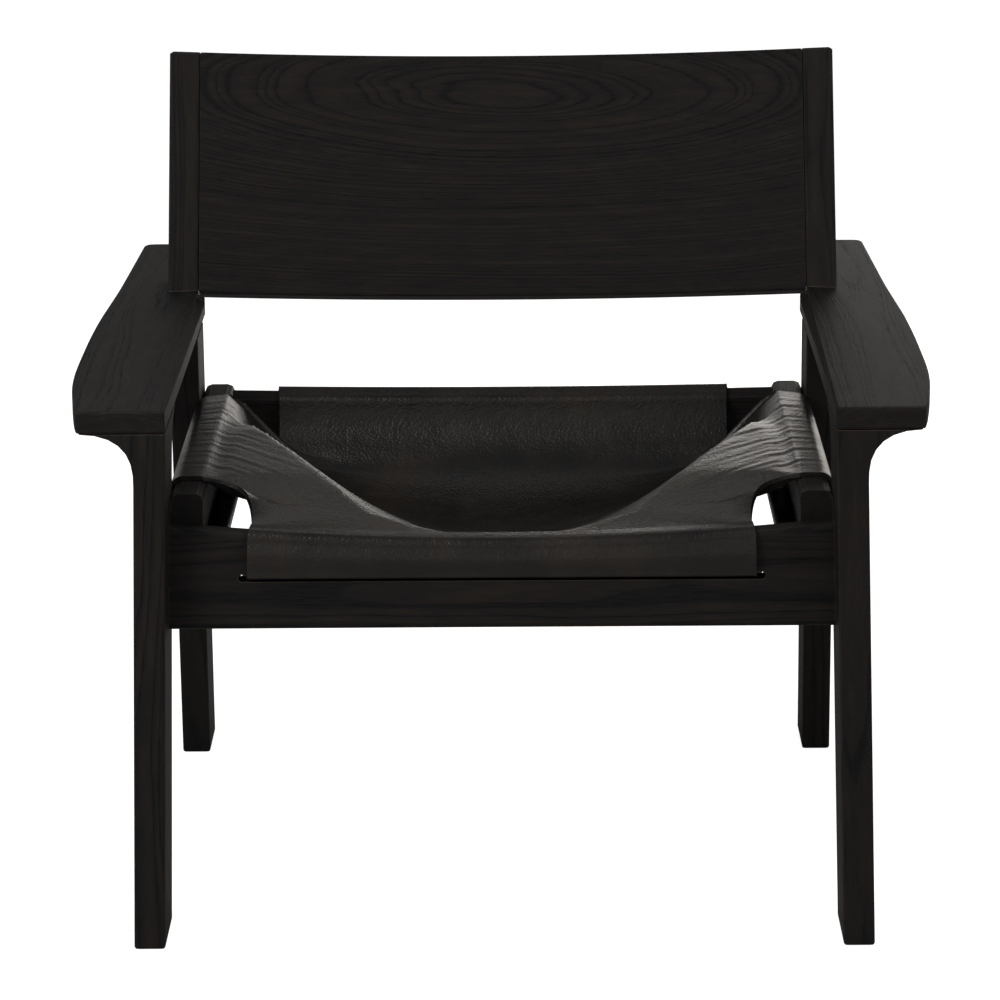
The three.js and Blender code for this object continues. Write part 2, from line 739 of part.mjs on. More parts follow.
// Middle surface of the bowl at share t from front to rear and share p across. Its edge turns from
// the front flap's corner to the side crest, follows the crest, turns down to the foot of the rear
// wall and goes up that wall. Across, the surface falls from the edge to the middle line inside the
// bowl's width, which opens from front to rear.
function bowlPoint(t, p) {
  const inFront = t < cornerFrontShare;
  const rearTurn = THREE.MathUtils.clamp((wallFootShare - t) / (wallFootShare - sideFlapEndShare), 0, 1);
  const turn = inFront ? t / cornerFrontShare : rearTurn;
  const swing = turn * (Math.PI / 2);
  const square = inFront ? cornerSquareShare : 1;
  const flapHalf = inFront ? frontFlapHalf : rearFlapHalf;
  const reach = flapHalf + (sideCrest.x - flapHalf) * (1 - Math.cos(swing) ** square);
  const x = p * reach;
  const line = middleLine(x);
  const middle = line.getPoint(t);
  const along = THREE.MathUtils.clamp((t - cornerFrontShare) / (sideFlapEndShare - cornerFrontShare), 0, 1);
  const crestY = THREE.MathUtils.lerp(sideFlapSetback, sideFlapRearEdge, along);
  const start = inFront ? line.v0.x : middle.x;
  const edgeY = start + (crestY - start) * Math.sin(swing) ** square;
  const y = middle.x + (edgeY - middle.x) * p * p;
  const raised = smooth(0, 1, turn);
  const span = THREE.MathUtils.lerp(line.v0.y, line.v3.y, t);
  const rise = (x / sideCrest.x) ** 2 * (inFront ? raised : 1);
  const edge = THREE.MathUtils.lerp(span, sideCrest.y, rise);
  const open = Math.min(1, t / bowlFullShare);
  const half = THREE.MathUtils.lerp(bowlFrontShare, 1, open ** bowlOpeningShare);
  const floorPower = THREE.MathUtils.lerp(...bowlFloorShares, t);
  const rimPower = THREE.MathUtils.lerp(...bowlRimShares, open);
  const climb = 1 - (1 - Math.min(1, Math.abs(p) / half) ** floorPower) ** rimPower;
  return new THREE.Vector3(x, y, middle.y + (edge - middle.y) * climb * (inFront ? 1 : raised));
}

// Rows of the hide from the front rod over the bowl to the rear rod.
function hideRows() {
  const columns = Array.from({ length: hideColumns + 1 }, (_, k) => {
    return Math.sin((k / hideColumns - 0.5) * Math.PI);
  });
  const flap = (half, wayAt, place) => {
    const steps = wayAt(0).length;
    return Array.from({ length: steps }, (_, k) => columns.map((p) => {
      const x = p * (half + flapSpread * smooth(0, steps - wrapSteps, k));
      return place(x, wayAt(x)[k]);
    }));
  };
  const front = flap(frontFlapHalf, frontWay, (x, [out, z]) => {
    return new THREE.Vector3(x, frontRailRecess - out, z);
  });
  const rear = flap(rearFlapHalf, rearWay, (x, [out, z]) => {
    return rearRailPoint(x, rearRailThickness / 2 + out, z);
  });
  const bowl = bowlShares().slice(1, -1).map((t) => columns.map((p) => bowlPoint(t, p)));
  return { rows: [...front.reverse(), ...bowl, ...rear], firstBowl: front.length };
}

// Shares of the bowl's rows, with one row at each end of the side flaps and one at the wall's foot.
function bowlShares() {
  const span = (from, to, count) => Array.from({ length: count }, (_, k) => from + ((to - from) * k) / count);
  return [
    ...span(0, cornerFrontShare, frontCornerRows),
    ...span(cornerFrontShare, sideFlapEndShare, sideFlapRows),
    ...span(sideFlapEndShare, wallFootShare, rearCornerRows),
    ...span(wallFootShare, 1, wallRows),
    1,
  ];
}

// Hide: the middle surface as a net of quads, given its thickness and a rim.
function hide() {
  const { rows, firstBowl } = hideRows();
  const shares = bowlShares();
  const points = [];
  const quads = [];
  const grid = rows.map((row) => row.map((p) => points.push(p) - 1));
  const addQuads = (net) => {
    for (let i = 0; i < net.length - 1; i += 1) {
      for (let j = 0; j < net[i].length - 1; j += 1) {
        quads.push([net[i][j], net[i][j + 1], net[i + 1][j + 1], net[i + 1][j]]);
      }
    }
  };
  addQuads(grid);
  const flapRows = shares.map((t, i) => ({ t, row: firstBowl + i - 1 }))
    .filter(({ t }) => t >= cornerFrontShare && t <= sideFlapEndShare);
  for (const side of [-1, 1]) {
    const net = flapRows.map(({ t, row }) => {
      const along = (t - cornerFrontShare) / (sideFlapEndShare - cornerFrontShare);
      const start = grid[row][side < 0 ? 0 : hideColumns];
      const rest = sideWay.slice(1).map(([out, z], k) => {
        const turn = smooth(0, 2 * arcSteps, k);
        const rearEdge = THREE.MathUtils.lerp(sideFlapRearEdge, sideFlapRear(Math.min(z, sideRailTop)), turn);
        const y = THREE.MathUtils.lerp(sideFlapSetback, rearEdge, along);
        return points.push(new THREE.Vector3(side * (innerFace(z) - gap + out), y, z)) - 1;
      });
      return side < 0 ? [...rest.reverse(), start] : [start, ...rest];
    });
    addQuads(net);
  }
  return thickened(points, quads, hideThickness);
}

// Closed shell of even thickness about a net of quads.
function thickened(points, quads, thickness) {
  const normals = points.map(() => new THREE.Vector3());
  for (const [a, b, c, d] of quads) {
    const n = new THREE.Vector3().subVectors(points[c], points[a])
      .cross(new THREE.Vector3().subVectors(points[d], points[b])).normalize();
    for (const v of [a, b, c, d]) normals[v].add(n);
  }
  const shell = (sign) => points.map((p, i) => {
    return p.clone().addScaledVector(normals[i].normalize(), (sign * thickness) / 2);
  });
  const all = [...shell(1), ...shell(-1)];
  const under = points.length;
  const triangles = quads.flatMap(([a, b, c, d]) => [
    [a, b, c], [a, c, d], [a + under, c + under, b + under], [a + under, d + under, c + under],
  ]);
  const edges = quads.flatMap(([a, b, c, d]) => [[a, b], [b, c], [c, d], [d, a]]);
  const used = new Set(edges.map((edge) => edge.join()));
  for (const edge of used) {
    const [a, b] = edge.split(',').map(Number);
    if (!used.has(`${b},${a}`)) triangles.push([b, a, a + under], [b, a + under, b + under]);
  }
  return closedGeometry(all, triangles);
}

// Rods that hold the flaps inside the rails.
function rods() {
  const level = hideOffset + wrapRadius;
  const front = new THREE.Vector3(0, frontRailRecess - rodOut(frontRailThickness), frontSlotTop - level);
  const rear = rearRailPoint(0, rearRailThickness / 2 + rodOut(rearRailThickness),
    slotHeight / 2 - rearSlotDrop - level);
  const sideZ = sideSlotLevel + slotHeight / 2 - level;
  const from = sideFlapSetback - rodEndRoom;
  const to = sideFlapRear(sideSlotLevel) + rodEndRoom;
  const acrossFront = roundBar(rodDiameter, 2 * (frontFlapHalf + flapSpread + rodEndRoom), 'x', front);
  const acrossRear = roundBar(rodDiameter, 2 * (rearFlapHalf + flapSpread + rodEndRoom), 'x', rear);
  const sideBar = roundBar(rodDiameter, to - from, 'y',
    new THREE.Vector3(innerFace(sideZ) - gap + rodOut(sideRailThickness), (from + to) / 2, sideZ));
  return { acrossFront, acrossRear, sideBar };
}

// The chair, with its front face at y = 0 inside the group and the group centred on the floor.
const chair = new THREE.Group();

function add(name, geometry, material) {
  const mesh = new THREE.Mesh(geometry, material);
  mesh.name = name;
  chair.add(mesh);
}

function addPair(name, geometry, material) {
  add(`${name}_R`, geometry, material);
  add(`${name}_L`, mirrored(indexed(geometry)), material);
}

addPair('front_leg', frontLeg(), wood);
addPair('rear_leg', rearLeg(), wood);
addPair('arm', arm(), wood);
addPair('back_stile', backStile(), wood);
add('back_panel', backPanel(), wood);
add('front_rail', frontRail(), wood);
add('rear_rail', rearRail(), wood);
addPair('side_rail', sideRail(), wood);
add('leather_sling', hide(), leather);

const { acrossFront, acrossRear, sideBar } = rods();
add('sling_rod_front', acrossFront, steel);
add('sling_rod_rear', acrossRear, steel);
addPair('sling_rod_side', sideBar, steel);
addPair('back_spline', backSpline(0), beech);

const dowels = [
  ...frontLegDowels, ...rearLegDowels, ...stileDowels, ...frontRailDowels, ...rearRailDowels,
];
for (const dowel of dowels) {
  addPair(dowel.name, roundBar(dowel.diameter, dowel.length, dowel.axis, dowel.centre), beech);
}
for (const screw of screws) addPair(screw.name, screwGeometry(screw, 0), steel);

const root = new THREE.Group();
chair.position.set(0, -armLength / 2, 0);
root.add(chair);

export default root;
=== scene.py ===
"""Low lounge chair of ebonised ash planks with a black hide slung over its seat rails."""
import math

import bpy
import numpy as np
from mathutils import Matrix, Vector


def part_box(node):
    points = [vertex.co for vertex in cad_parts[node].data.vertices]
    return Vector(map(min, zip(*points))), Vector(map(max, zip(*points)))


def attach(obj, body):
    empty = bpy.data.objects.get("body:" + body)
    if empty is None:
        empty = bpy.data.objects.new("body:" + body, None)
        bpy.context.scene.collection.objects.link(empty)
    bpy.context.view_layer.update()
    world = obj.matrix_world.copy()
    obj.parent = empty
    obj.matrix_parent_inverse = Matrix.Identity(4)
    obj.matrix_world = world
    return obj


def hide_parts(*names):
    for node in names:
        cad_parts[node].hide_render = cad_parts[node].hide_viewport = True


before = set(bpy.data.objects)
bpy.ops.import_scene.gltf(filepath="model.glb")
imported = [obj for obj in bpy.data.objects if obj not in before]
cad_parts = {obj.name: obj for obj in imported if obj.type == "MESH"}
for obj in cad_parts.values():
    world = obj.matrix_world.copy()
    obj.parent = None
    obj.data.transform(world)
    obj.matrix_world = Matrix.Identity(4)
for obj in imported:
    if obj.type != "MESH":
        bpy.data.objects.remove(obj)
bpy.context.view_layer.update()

bl_info = {
    "name": "Sling Lounge Chair",
    "version": (1, 0, 0),
    "blender": (4, 5, 0),
    "location": "View3D > Sidebar > Chair",
    "description": "Dresses the chair's planks, slings its hide and sets the stage",
    "category": "Object",
}

# The chair's own sizes in millimetres and degrees, most of them as its solids have them. Heights
# are above the floor, and setbacks are measured rearward from the arms' front ends.
FRONT_TO_MIDDLE = 382.0
CLEAR_WIDTH_AT_FLOOR = 632.0
SPLAY_ANGLE = 1.6
SEAT_HEIGHT = 398.5
ARM_TOP = 516.0
GAP = 0.3
REAR_FOOT_SETBACK = 578.0
REAR_LEG_DEPTH = 77.0
RAKE_ANGLE = 20.8
BACK_SETBACK = 513.0
BACK_RECLINE = 24.0
BACK_HOLLOW = 27.0
FRONT_RAIL_RECESS = 38.0
FRONT_RAIL_THICKNESS = 20.0
FRONT_RAIL_SCOOP = 16.0
RAIL_EDGE = 5.0
REAR_RAIL_THICKNESS = 20.0
REAR_RAIL_RISE = 24.5
REAR_RAIL_SCOOP = 3.0
SIDE_RAIL_THICKNESS = 30.0
SIDE_RAIL_RISE = 25.5
SIDE_RAIL_EDGE = 7.0
SLOT_HEIGHT = 7.0
FRONT_SLOT_DROP = 50.0
FRONT_SLOT_INSET = 64.0
REAR_SLOT_DROP = 52.0
REAR_SLOT_INSET = 34.0
SIDE_SLOT_DROP = 52.0
SLOT_END_ROOM = 7.0
HIDE_THICKNESS = 4.0
FLAP_SPREAD = 5.0
SIDE_FLAP_FRONT_ROOM = 48.0
SIDE_FLAP_REAR_ROOM = 8.0
SIDE_FLAP_LEG_ROOM = 6.0
FRONT_LEAVE_ANGLE = 38.0
FRONT_HANDLE = 60.0
REAR_LEAVE_ANGLE = 84.0
REAR_HANDLE = 149.4
ROD_DIAMETER = 10.0
ROD_WRAP_ANGLE = 176.0
CORNER_FRONT_SHARE = 0.15
SIDE_FLAP_END_SHARE = 0.78
WALL_FOOT_SHARE = 0.884
BOWL_FULL_SHARE = 0.67
BOWL_FRONT_SHARE = 0.378
BOWL_OPENING_SHARE = 1.331
BOWL_FLOOR_SHARES = (1.8, 18.0)
BOWL_FLOOR_GROWTH_SHARE = 6.0
BOWL_RIM_SHARES = (1.45, 0.74)
CORNER_SQUARE_SHARE = 0.66

# Forms of the hide that its solid doesn't have, in millimetres and degrees.
SIDE_LEAVE_ANGLE = 26.0
REAR_FLAP_TRIM = 4.0
FRONT_FLAP_BULGE = 3.5
# The front corner rises over this length inside the bowl, and over the corner's own at its edge.
# The power says how near the edge the one gives way to the other.
CORNER_RAMP_LENGTH = 150.0
CORNER_RAMP_POWER = 4
# Width and slope of the bend beside a side crest, at its front and at its rear, and the share of
# the bowl from which it changes. It begins over a share after the front corner, and ends at a share
# before the wall's foot.
CREST_BLENDS = (22.0, 70.0)
CREST_SLOPES = (26.0, 34.0)
REARWARD_FROM_SHARE = 0.45
BEND_START_SHARE = 0.07
BEND_END_SHARE = 0.01
# Drag wrinkles: how far they drift and over what length, where they fade on their way inward, and
# the shares of the side crest over which they start and end.
WRINKLE_SLANT = 0.6
WRINKLE_BEND = 60.0
WRINKLE_REACH = (20.0, 150.0)
WRINKLE_START_SHARES = (0.02, 0.14)
WRINKLE_END_SHARES = (0.86, 0.98)
# Pitch and share of each drag wave, how far it sways and over what length, and its start.
DRAG_WAVES = (
    (22.0, 0.22, 1.9, 40.0, 0.3),
    (14.5, 0.16, 2.3, 31.0, 2.0),
    (35.0, 0.12, 1.4, 62.0, 4.1),
)

# Steps of the hide's surface: the arcs of its way round a rail, the straight runs between them, the
# columns across, and the rows of the front corner, the side crest, the wall's foot and the wall.
ARC_STEPS = (8, 9, 7, 14)
RUN_STEPS = (4, 16, 5)
BAND_COLUMNS = 97
CORNER_ROWS = 25
CREST_ROWS = 91
FOOT_ROWS = 21
WALL_ROWS = 21
# A turn tells how far a point is along the way. These are each arc's first and last turn, the one
# where the outer face starts, and the pairs between which a flap spreads, a side flap leans over to
# the leg, and the wrinkles fade.
ARC_TURNS = ((0.0, 2.0), (3.0, 5.0), (6.0, 8.0), (9.0, 15.0))
FACE_TURN = 5
SPREAD_TURNS = (0, 10)
LEAN_TURNS = (1, 5)
FADE_TURNS = (2, 5)
# A row whose share comes this close to a corner's counts as on it.
SHARE_MARGIN = 1e-9

# Patterns of the wood per millimetre along the grain, across it and outward, and how far the slow
# waver and the quick ripple move the rings, in millimetres.
WAVER_RATE = (0.002, 0.011, 0.011)
WAVER_SWAY = (0, 12, 12)
RIPPLE_RATE = (0.014, 0.09, 0.09)
RIPPLE_SWAY = (0, 1.0, 1.0)
PORE_RATE = (0.03, 0.9, 0.9)
PATCH_RATE = (0.016, 0.1, 0.1)
SEED_STEP = 731.0
RING_NOISE_SCALE = 0.37
RING_NOISE_YEARS = 3.2
# Share of open pores through a ring, which starts with a band of them and ends in dense wood.
RING_PORES = ((0.0, 0.6), (0.09, 1.0), (0.24, 0.3), (0.65, 0.0), (1.0, 0.2))
PORE_BAND_SHARE = 0.55
PORE_LEAST_SHARE = 0.1
# Height of the hide's small folds, as a multiple of its pebbles' height.
FOLD_HEIGHT = 2.4
# Flecks and draw lines per metre, along x, y and z.
FLECK_RATE = (900, 900, 120)
DRAW_LINE_RATE = (40, 1400, 1400)

# The panel's rings: how far up the back they are centred, in metres, the distance of their pith in
# millimetres, and how much painted highlight its arrises get.
PANEL_CROWN_HEIGHT = 0.222
PANEL_PITH_DISTANCE = 84
PANEL_EDGE_HIGHLIGHT_SHARE = 0.2

# The stage in metres: what the floor and the surround give to the camera and to everything else.
FLOOR_HALF = 15
FLOOR_DROP = 0.0005
FLOOR_GLOW = 0.9
SURROUND_LIGHT = 0.27
SURROUND_SEEN = 1.0
LAMP_COLOUR = (1.0, 0.95, 0.89)
LAMP_AIM = (0, 0, 0.4)
# Place, width and height of each lamp, and its share of the main power.
LAMPS = {
    "lamp_above_left": ((-1.6, -1.7, 2.0), 1.3, 1.3, 0.82),
    "lamp_right": ((2.1, -1.5, 1.8), 1.2, 1.2, 0.42),
    "panel_in_front": ((0.0, -4.6, 1.1), 3.0, 1.6, 0.2),
    "panel_above_behind": ((0.0, 1.6, 2.6), 2.0, 1.2, 0.12),
    "low_panel_right": ((0.6, 2.3, 0.52), 1.1, 1.0, 0.23),
    "low_panel_left": ((-0.6, 2.3, 0.52), 1.1, 1.0, 0.03),
}

# The camera: place in metres, turns in radians, and lens and sensor in millimetres.
CAMERA_PLACE = (0.02046519, -3.94817849, 1.3874395)
CAMERA_PITCH = 0.26179939
CAMERA_ROLL = -0.00778258
CAMERA_YAW = -0.00600172
CAMERA_LENS = 147.06
CAMERA_SENSOR = 36

# A colour mix node's sockets by number: its names stand for several of them.
MIX_A, MIX_B, MIX_RESULT = 6, 7, 2

SPLAY = math.tan(math.radians(SPLAY_ANGLE))
RAKE = math.tan(math.radians(RAKE_ANGLE))
REAR_RAIL_TOP = SEAT_HEIGHT + REAR_RAIL_RISE
SIDE_RAIL_TOP = SEAT_HEIGHT + SIDE_RAIL_RISE
HIDE_OFFSET = GAP + HIDE_THICKNESS / 2
WRAP_RADIUS = ROD_DIAMETER / 2 + HIDE_OFFSET


def inner_face(z):
    """Half the clear width between the side frames at height z: it shrinks with the splay."""
    return CLEAR_WIDTH_AT_FLOOR / 2 - SPLAY * z


def rear_leg_front(z):
    """Setback of a rear leg's front edge at height z: the foot's setback less the rake."""
    return REAR_FOOT_SETBACK - RAKE * z


FRONT_SLOT_TOP = SEAT_HEIGHT - FRONT_SLOT_DROP + SLOT_HEIGHT / 2
REAR_SLOT_TOP = SLOT_HEIGHT / 2 - REAR_SLOT_DROP
SIDE_SLOT_TOP = SIDE_RAIL_TOP - SIDE_SLOT_DROP + SLOT_HEIGHT / 2
FRONT_FLAP_HALF = (inner_face(SEAT_HEIGHT - FRONT_SLOT_DROP) - FRONT_SLOT_INSET - SLOT_END_ROOM
                   - FLAP_SPREAD)
REAR_FLAP_HALF = (inner_face(REAR_RAIL_TOP - REAR_SLOT_DROP) - SIDE_RAIL_THICKNESS - REAR_SLOT_INSET
                  - SLOT_END_ROOM - FLAP_SPREAD - REAR_FLAP_TRIM)
SIDE_FLAP_SETBACK = FRONT_RAIL_RECESS + FRONT_RAIL_THICKNESS + SIDE_FLAP_FRONT_ROOM
REAR_LEG_MIDDLE_AT_RAIL = rear_leg_front(SIDE_RAIL_TOP) + REAR_LEG_DEPTH / 2
SIDE_FLAP_REAR_EDGE = (REAR_LEG_MIDDLE_AT_RAIL
                       - REAR_RAIL_THICKNESS / 2 / math.cos(math.radians(RAKE_ANGLE))
                       - HIDE_THICKNESS - SIDE_FLAP_REAR_ROOM)


def linear(hex_colour):
    """An sRGB hex colour as linear red, green and blue."""
    srgb = [int(hex_colour[i:i + 2], 16) / 255 for i in (1, 3, 5)]
    return [c / 12.92 if c <= 0.04045 else ((c + 0.055) / 1.055) ** 2.4 for c in srgb]


class ChairWoodSettings(bpy.types.PropertyGroup):
    """Colours and figure of the planks."""

    stain: bpy.props.FloatVectorProperty(
        name="Stain", description="Colour of the stained wood between its pores",
        subtype="COLOR", size=3, min=0, max=1, default=linear("#141416"))
    stain_light: bpy.props.FloatVectorProperty(
        name="Light Stain", description="Colour of the dense wood that takes less stain",
        subtype="COLOR", size=3, min=0, max=1, default=linear("#211e1c"))
    pore: bpy.props.FloatVectorProperty(
        name="Pores", description="Colour of the open pores, where the stain gathers",
        subtype="COLOR", size=3, min=0, max=1, default=linear("#080707"))
    # Painted highlight: a light colour drawn in a thin line along each arris, where the rounded
    # edges catch the light, and the width of that line.
    wear_and_edge_highlight: bpy.props.FloatVectorProperty(
        name="Edge Highlight", description="Colour of an edge where the stain is rubbed through",
        subtype="COLOR", size=3, min=0, max=1, default=linear("#62574e"))
    edge_highlight_width: bpy.props.FloatProperty(
        name="Edge Highlight Width", description="Width of the rubbed line along an arris",
        subtype="DISTANCE", unit="LENGTH", min=0, max=0.01, default=0.0015)
    ring_width: bpy.props.FloatProperty(
        name="Ring Width", description="Mean width of a growth ring",
        subtype="DISTANCE", unit="LENGTH", min=0.0005, max=0.02, default=0.0023)
    pore_depth: bpy.props.FloatProperty(
        name="Pore Depth", description="Depth of the open pores in the surface",
        subtype="DISTANCE", unit="LENGTH", min=0, max=0.002, default=0.0003)


class ChairHideSettings(bpy.types.PropertyGroup):
    """Thickness, creases and colours of the hide."""

    thickness: bpy.props.FloatProperty(
        name="Thickness", description="Thickness of the hide",
        subtype="DISTANCE", unit="LENGTH", min=0.001, max=0.006, default=HIDE_THICKNESS / 1000)
    wrinkle: bpy.props.FloatProperty(
        name="Wrinkle Height", description="Height of the drag wrinkles beside the side rails",
        subtype="DISTANCE", unit="LENGTH", min=0, max=0.01, default=0.0011)
    dye: bpy.props.FloatVectorProperty(
        name="Dye", description="Colour of the dyed hide",
        subtype="COLOR", size=3, min=0, max=1, default=linear("#0b0a0a"))
    rubbed_and_highlit: bpy.props.FloatVectorProperty(
        name="Rubbed Dye", description="Colour of the hide where use has rubbed it",
        subtype="COLOR", size=3, min=0, max=1, default=linear("#1d1712"))
    pebble: bpy.props.FloatProperty(
        name="Pebble", description="Size of a pebble of the hide's grain",
        subtype="DISTANCE", unit="LENGTH", min=0.0003, max=0.01, default=0.0024)


class ChairStageSettings(bpy.types.PropertyGroup):
    """Floor and lamps."""

    floor_colour: bpy.props.FloatVectorProperty(
        name="Floor", description="Colour of the floor",
        subtype="COLOR", size=3, min=0, max=1, default=linear("#c0c0c0"))
    lamp_power: bpy.props.FloatProperty(
        name="Lamp Power", description="Power of the main lamp; the others follow it",
        subtype="POWER", unit="POWER", min=0, max=500, default=60.0)


def settings(name):
    """One of the chair's groups of settings."""
    return getattr(bpy.context.scene, name)


def add_node(tree, kind, attributes=None, inputs=None):
    """Adds a node, sets its attributes, and gives each input its value or its link."""
    node = tree.nodes.new(kind)
    for key, value in (attributes or {}).items():
        setattr(node, key, value)
    for key, value in (inputs or {}).items():
        if isinstance(value, bpy.types.NodeSocket):
            tree.links.new(value, node.inputs[key])
        else:
            node.inputs[key].default_value = value
    return node


def new_material(name):
    """An empty node material with its output, and the tree that they stand in."""
    material = bpy.data.materials.new(name)
    material.use_nodes = True
    material.node_tree.nodes.clear()
    return material, material.node_tree


def finish_material(tree, shader):
    """Leads the shader to the material's output."""
    add_node(tree, "ShaderNodeOutputMaterial", inputs={"Surface": shader.outputs[0]})


def set_ramp(node, stops):
    """Gives a colour ramp its stops, as pairs of position and grey level."""
    ramp = node.color_ramp
    while len(ramp.elements) < len(stops):
        ramp.elements.new(0.5)
    for element, (position, level) in zip(ramp.elements, stops):
        element.position = position
        element.color = (level, level, level, 1)


def ebonised_ash(name, grain, outward, centre, pith_distance, seed, edge_highlight_share=1.0):
    """Ash, planed, stained black and waxed. The stain leaves the dense wood a little lighter and
    gathers in the open pores, so the eye gets dark streaks along the grain and soft contour lines
    where the face cuts the growth rings. The arrises get a painted highlight: thin light lines
    drawn in the colour where the rounded edges catch the light.

    Object coordinates are turned into the plank's own, in millimetres: along the grain, across the
    face, and outward from the pith. Rings are cylinders about the pith, wavering slowly along
    it."""
    wood = settings("chair_wood")
    material, tree = new_material(name)
    along = Vector(grain).normalized()
    out = (Vector(outward) - Vector(outward).dot(along) * along).normalized()
    turn = Matrix((along, out.cross(along), out))
    shift = Vector((seed * SEED_STEP, 0, pith_distance)) - turn @ (Vector(centre) * 1000)
    place = add_node(tree, "ShaderNodeTexCoord")
    plank = add_node(tree, "ShaderNodeMapping", inputs={
        "Vector": place.outputs["Object"], "Location": shift,
        "Rotation": turn.to_euler(), "Scale": (1000, 1000, 1000)})
    # slow waver of the rings: 500 mm along the grain, 90 mm across it
    slow = add_node(tree, "ShaderNodeVectorMath", {"operation": "MULTIPLY"}, {
        0: plank.outputs[0], 1: WAVER_RATE})
    waver = add_node(tree, "ShaderNodeTexNoise", inputs={
        "Vector": slow.outputs[0], "Scale": 1.0, "Detail": 2.0, "Roughness": 0.45})
    quick = add_node(tree, "ShaderNodeVectorMath", {"operation": "MULTIPLY"}, {
        0: plank.outputs[0], 1: RIPPLE_RATE})
    ripple = add_node(tree, "ShaderNodeTexNoise", inputs={
        "Vector": quick.outputs[0], "Scale": 1.0, "Detail": 2.0, "Roughness": 0.5})
    bent = add_node(tree, "ShaderNodeVectorMath", {"operation": "MULTIPLY_ADD"}, {
        0: waver.outputs["Color"], 1: WAVER_SWAY, 2: plank.outputs[0]})
    rippled = add_node(tree, "ShaderNodeVectorMath", {"operation": "MULTIPLY_ADD"}, {
        0: ripple.outputs["Color"], 1: RIPPLE_SWAY, 2: bent.outputs[0]})
    flat = add_node(tree, "ShaderNodeVectorMath", {"operation": "MULTIPLY"}, {
        0: rippled.outputs[0], 1: (0, 1, 1)})
    radius = add_node(tree, "ShaderNodeVectorMath", {"operation": "LENGTH"}, {0: flat.outputs[0]})
    year = add_node(tree, "ShaderNodeMath", {"operation": "DIVIDE"}, {
        0: radius.outputs["Value"], 1: wood.ring_width * 1000})
    uneven = add_node(tree, "ShaderNodeTexNoise", {"noise_dimensions": "1D"}, {
        "W": year.outputs[0], "Scale": RING_NOISE_SCALE, "Detail": 1.0})
    years = add_node(tree, "ShaderNodeMath", {"operation": "MULTIPLY_ADD"}, {
        0: uneven.outputs[0], 1: RING_NOISE_YEARS, 2: year.outputs[0]})
    share = add_node(tree, "ShaderNodeMath", {"operation": "FRACT"}, {0: years.outputs[0]})
    early = add_node(tree, "ShaderNodeValToRGB", inputs={"Fac": share.outputs[0]})
    set_ramp(early, RING_PORES)
    # pores are 0.3 mm across; they are drawn 1 mm across and 30 mm long, so that they show
    pore_place = add_node(tree, "ShaderNodeVectorMath", {"operation": "MULTIPLY"}, {
        0: rippled.outputs[0], 1: PORE_RATE})
    pores = add_node(tree, "ShaderNodeTexNoise", inputs={
        "Vector": pore_place.outputs[0], "Scale": 1.0, "Detail": 3.0, "Roughness": 0.6})
    pore = add_node(tree, "ShaderNodeMapRange", inputs={
        "Value": pores.outputs[0], "From Min": 0.5, "From Max": 0.64})
    banded = add_node(tree, "ShaderNodeMath", {"operation": "MULTIPLY_ADD"}, {
        0: early.outputs["Color"], 1: PORE_BAND_SHARE, 2: PORE_LEAST_SHARE})
    streak = add_node(tree, "ShaderNodeMath", {"operation": "MULTIPLY"}, {
        0: pore.outputs[0], 1: banded.outputs[0]})
    # dense wood takes the stain unevenly, in patches 60 mm long and 10 mm wide
    patch_place = add_node(tree, "ShaderNodeVectorMath", {"operation": "MULTIPLY"}, {
        0: bent.outputs[0], 1: PATCH_RATE})
    patches = add_node(tree, "ShaderNodeTexNoise", inputs={
        "Vector": patch_place.outputs[0], "Scale": 1.0, "Detail": 4.0, "Roughness": 0.65})
    dense = add_node(tree, "ShaderNodeMapRange", inputs={
        "Value": patches.outputs[0], "From Min": 0.36, "From Max": 0.68, "To Min": 0.4})
    late = add_node(tree, "ShaderNodeMath", {"operation": "SUBTRACT", "use_clamp": True}, {
        0: dense.outputs[0], 1: early.outputs["Color"]})
    stained = add_node(tree, "ShaderNodeMix", {"data_type": "RGBA"}, {
        "Factor": late.outputs[0], MIX_A: (*wood.stain, 1), MIX_B: (*wood.stain_light, 1)})
    pored = add_node(tree, "ShaderNodeMix", {"data_type": "RGBA"}, {
        "Factor": streak.outputs[0], MIX_A: stained.outputs[MIX_RESULT], MIX_B: (*wood.pore, 1)})
    # painted highlight along the arrises: an arris is where the normal, averaged over the
    # highlight's width, leaves the face's own, and there the colour goes light in patches
    face = add_node(tree, "ShaderNodeNewGeometry")
    averaged = add_node(tree, "ShaderNodeBevel", {"samples": 6}, {"Radius": wood.edge_highlight_width})
    likeness = add_node(tree, "ShaderNodeVectorMath", {"operation": "DOT_PRODUCT"}, {
        0: averaged.outputs[0], 1: face.outputs["True Normal"]})
    arris_highlight_mask = add_node(tree, "ShaderNodeMapRange", inputs={
        "Value": likeness.outputs["Value"], "From Min": 0.97, "From Max": 0.75})
    kept = add_node(tree, "ShaderNodeMath", {"operation": "MULTIPLY"}, {
        0: patches.outputs[0], 1: edge_highlight_share})
    patchy_edge_highlight = add_node(tree, "ShaderNodeMath", {"operation": "MULTIPLY"}, {
        0: arris_highlight_mask.outputs[0], 1: kept.outputs[0]})
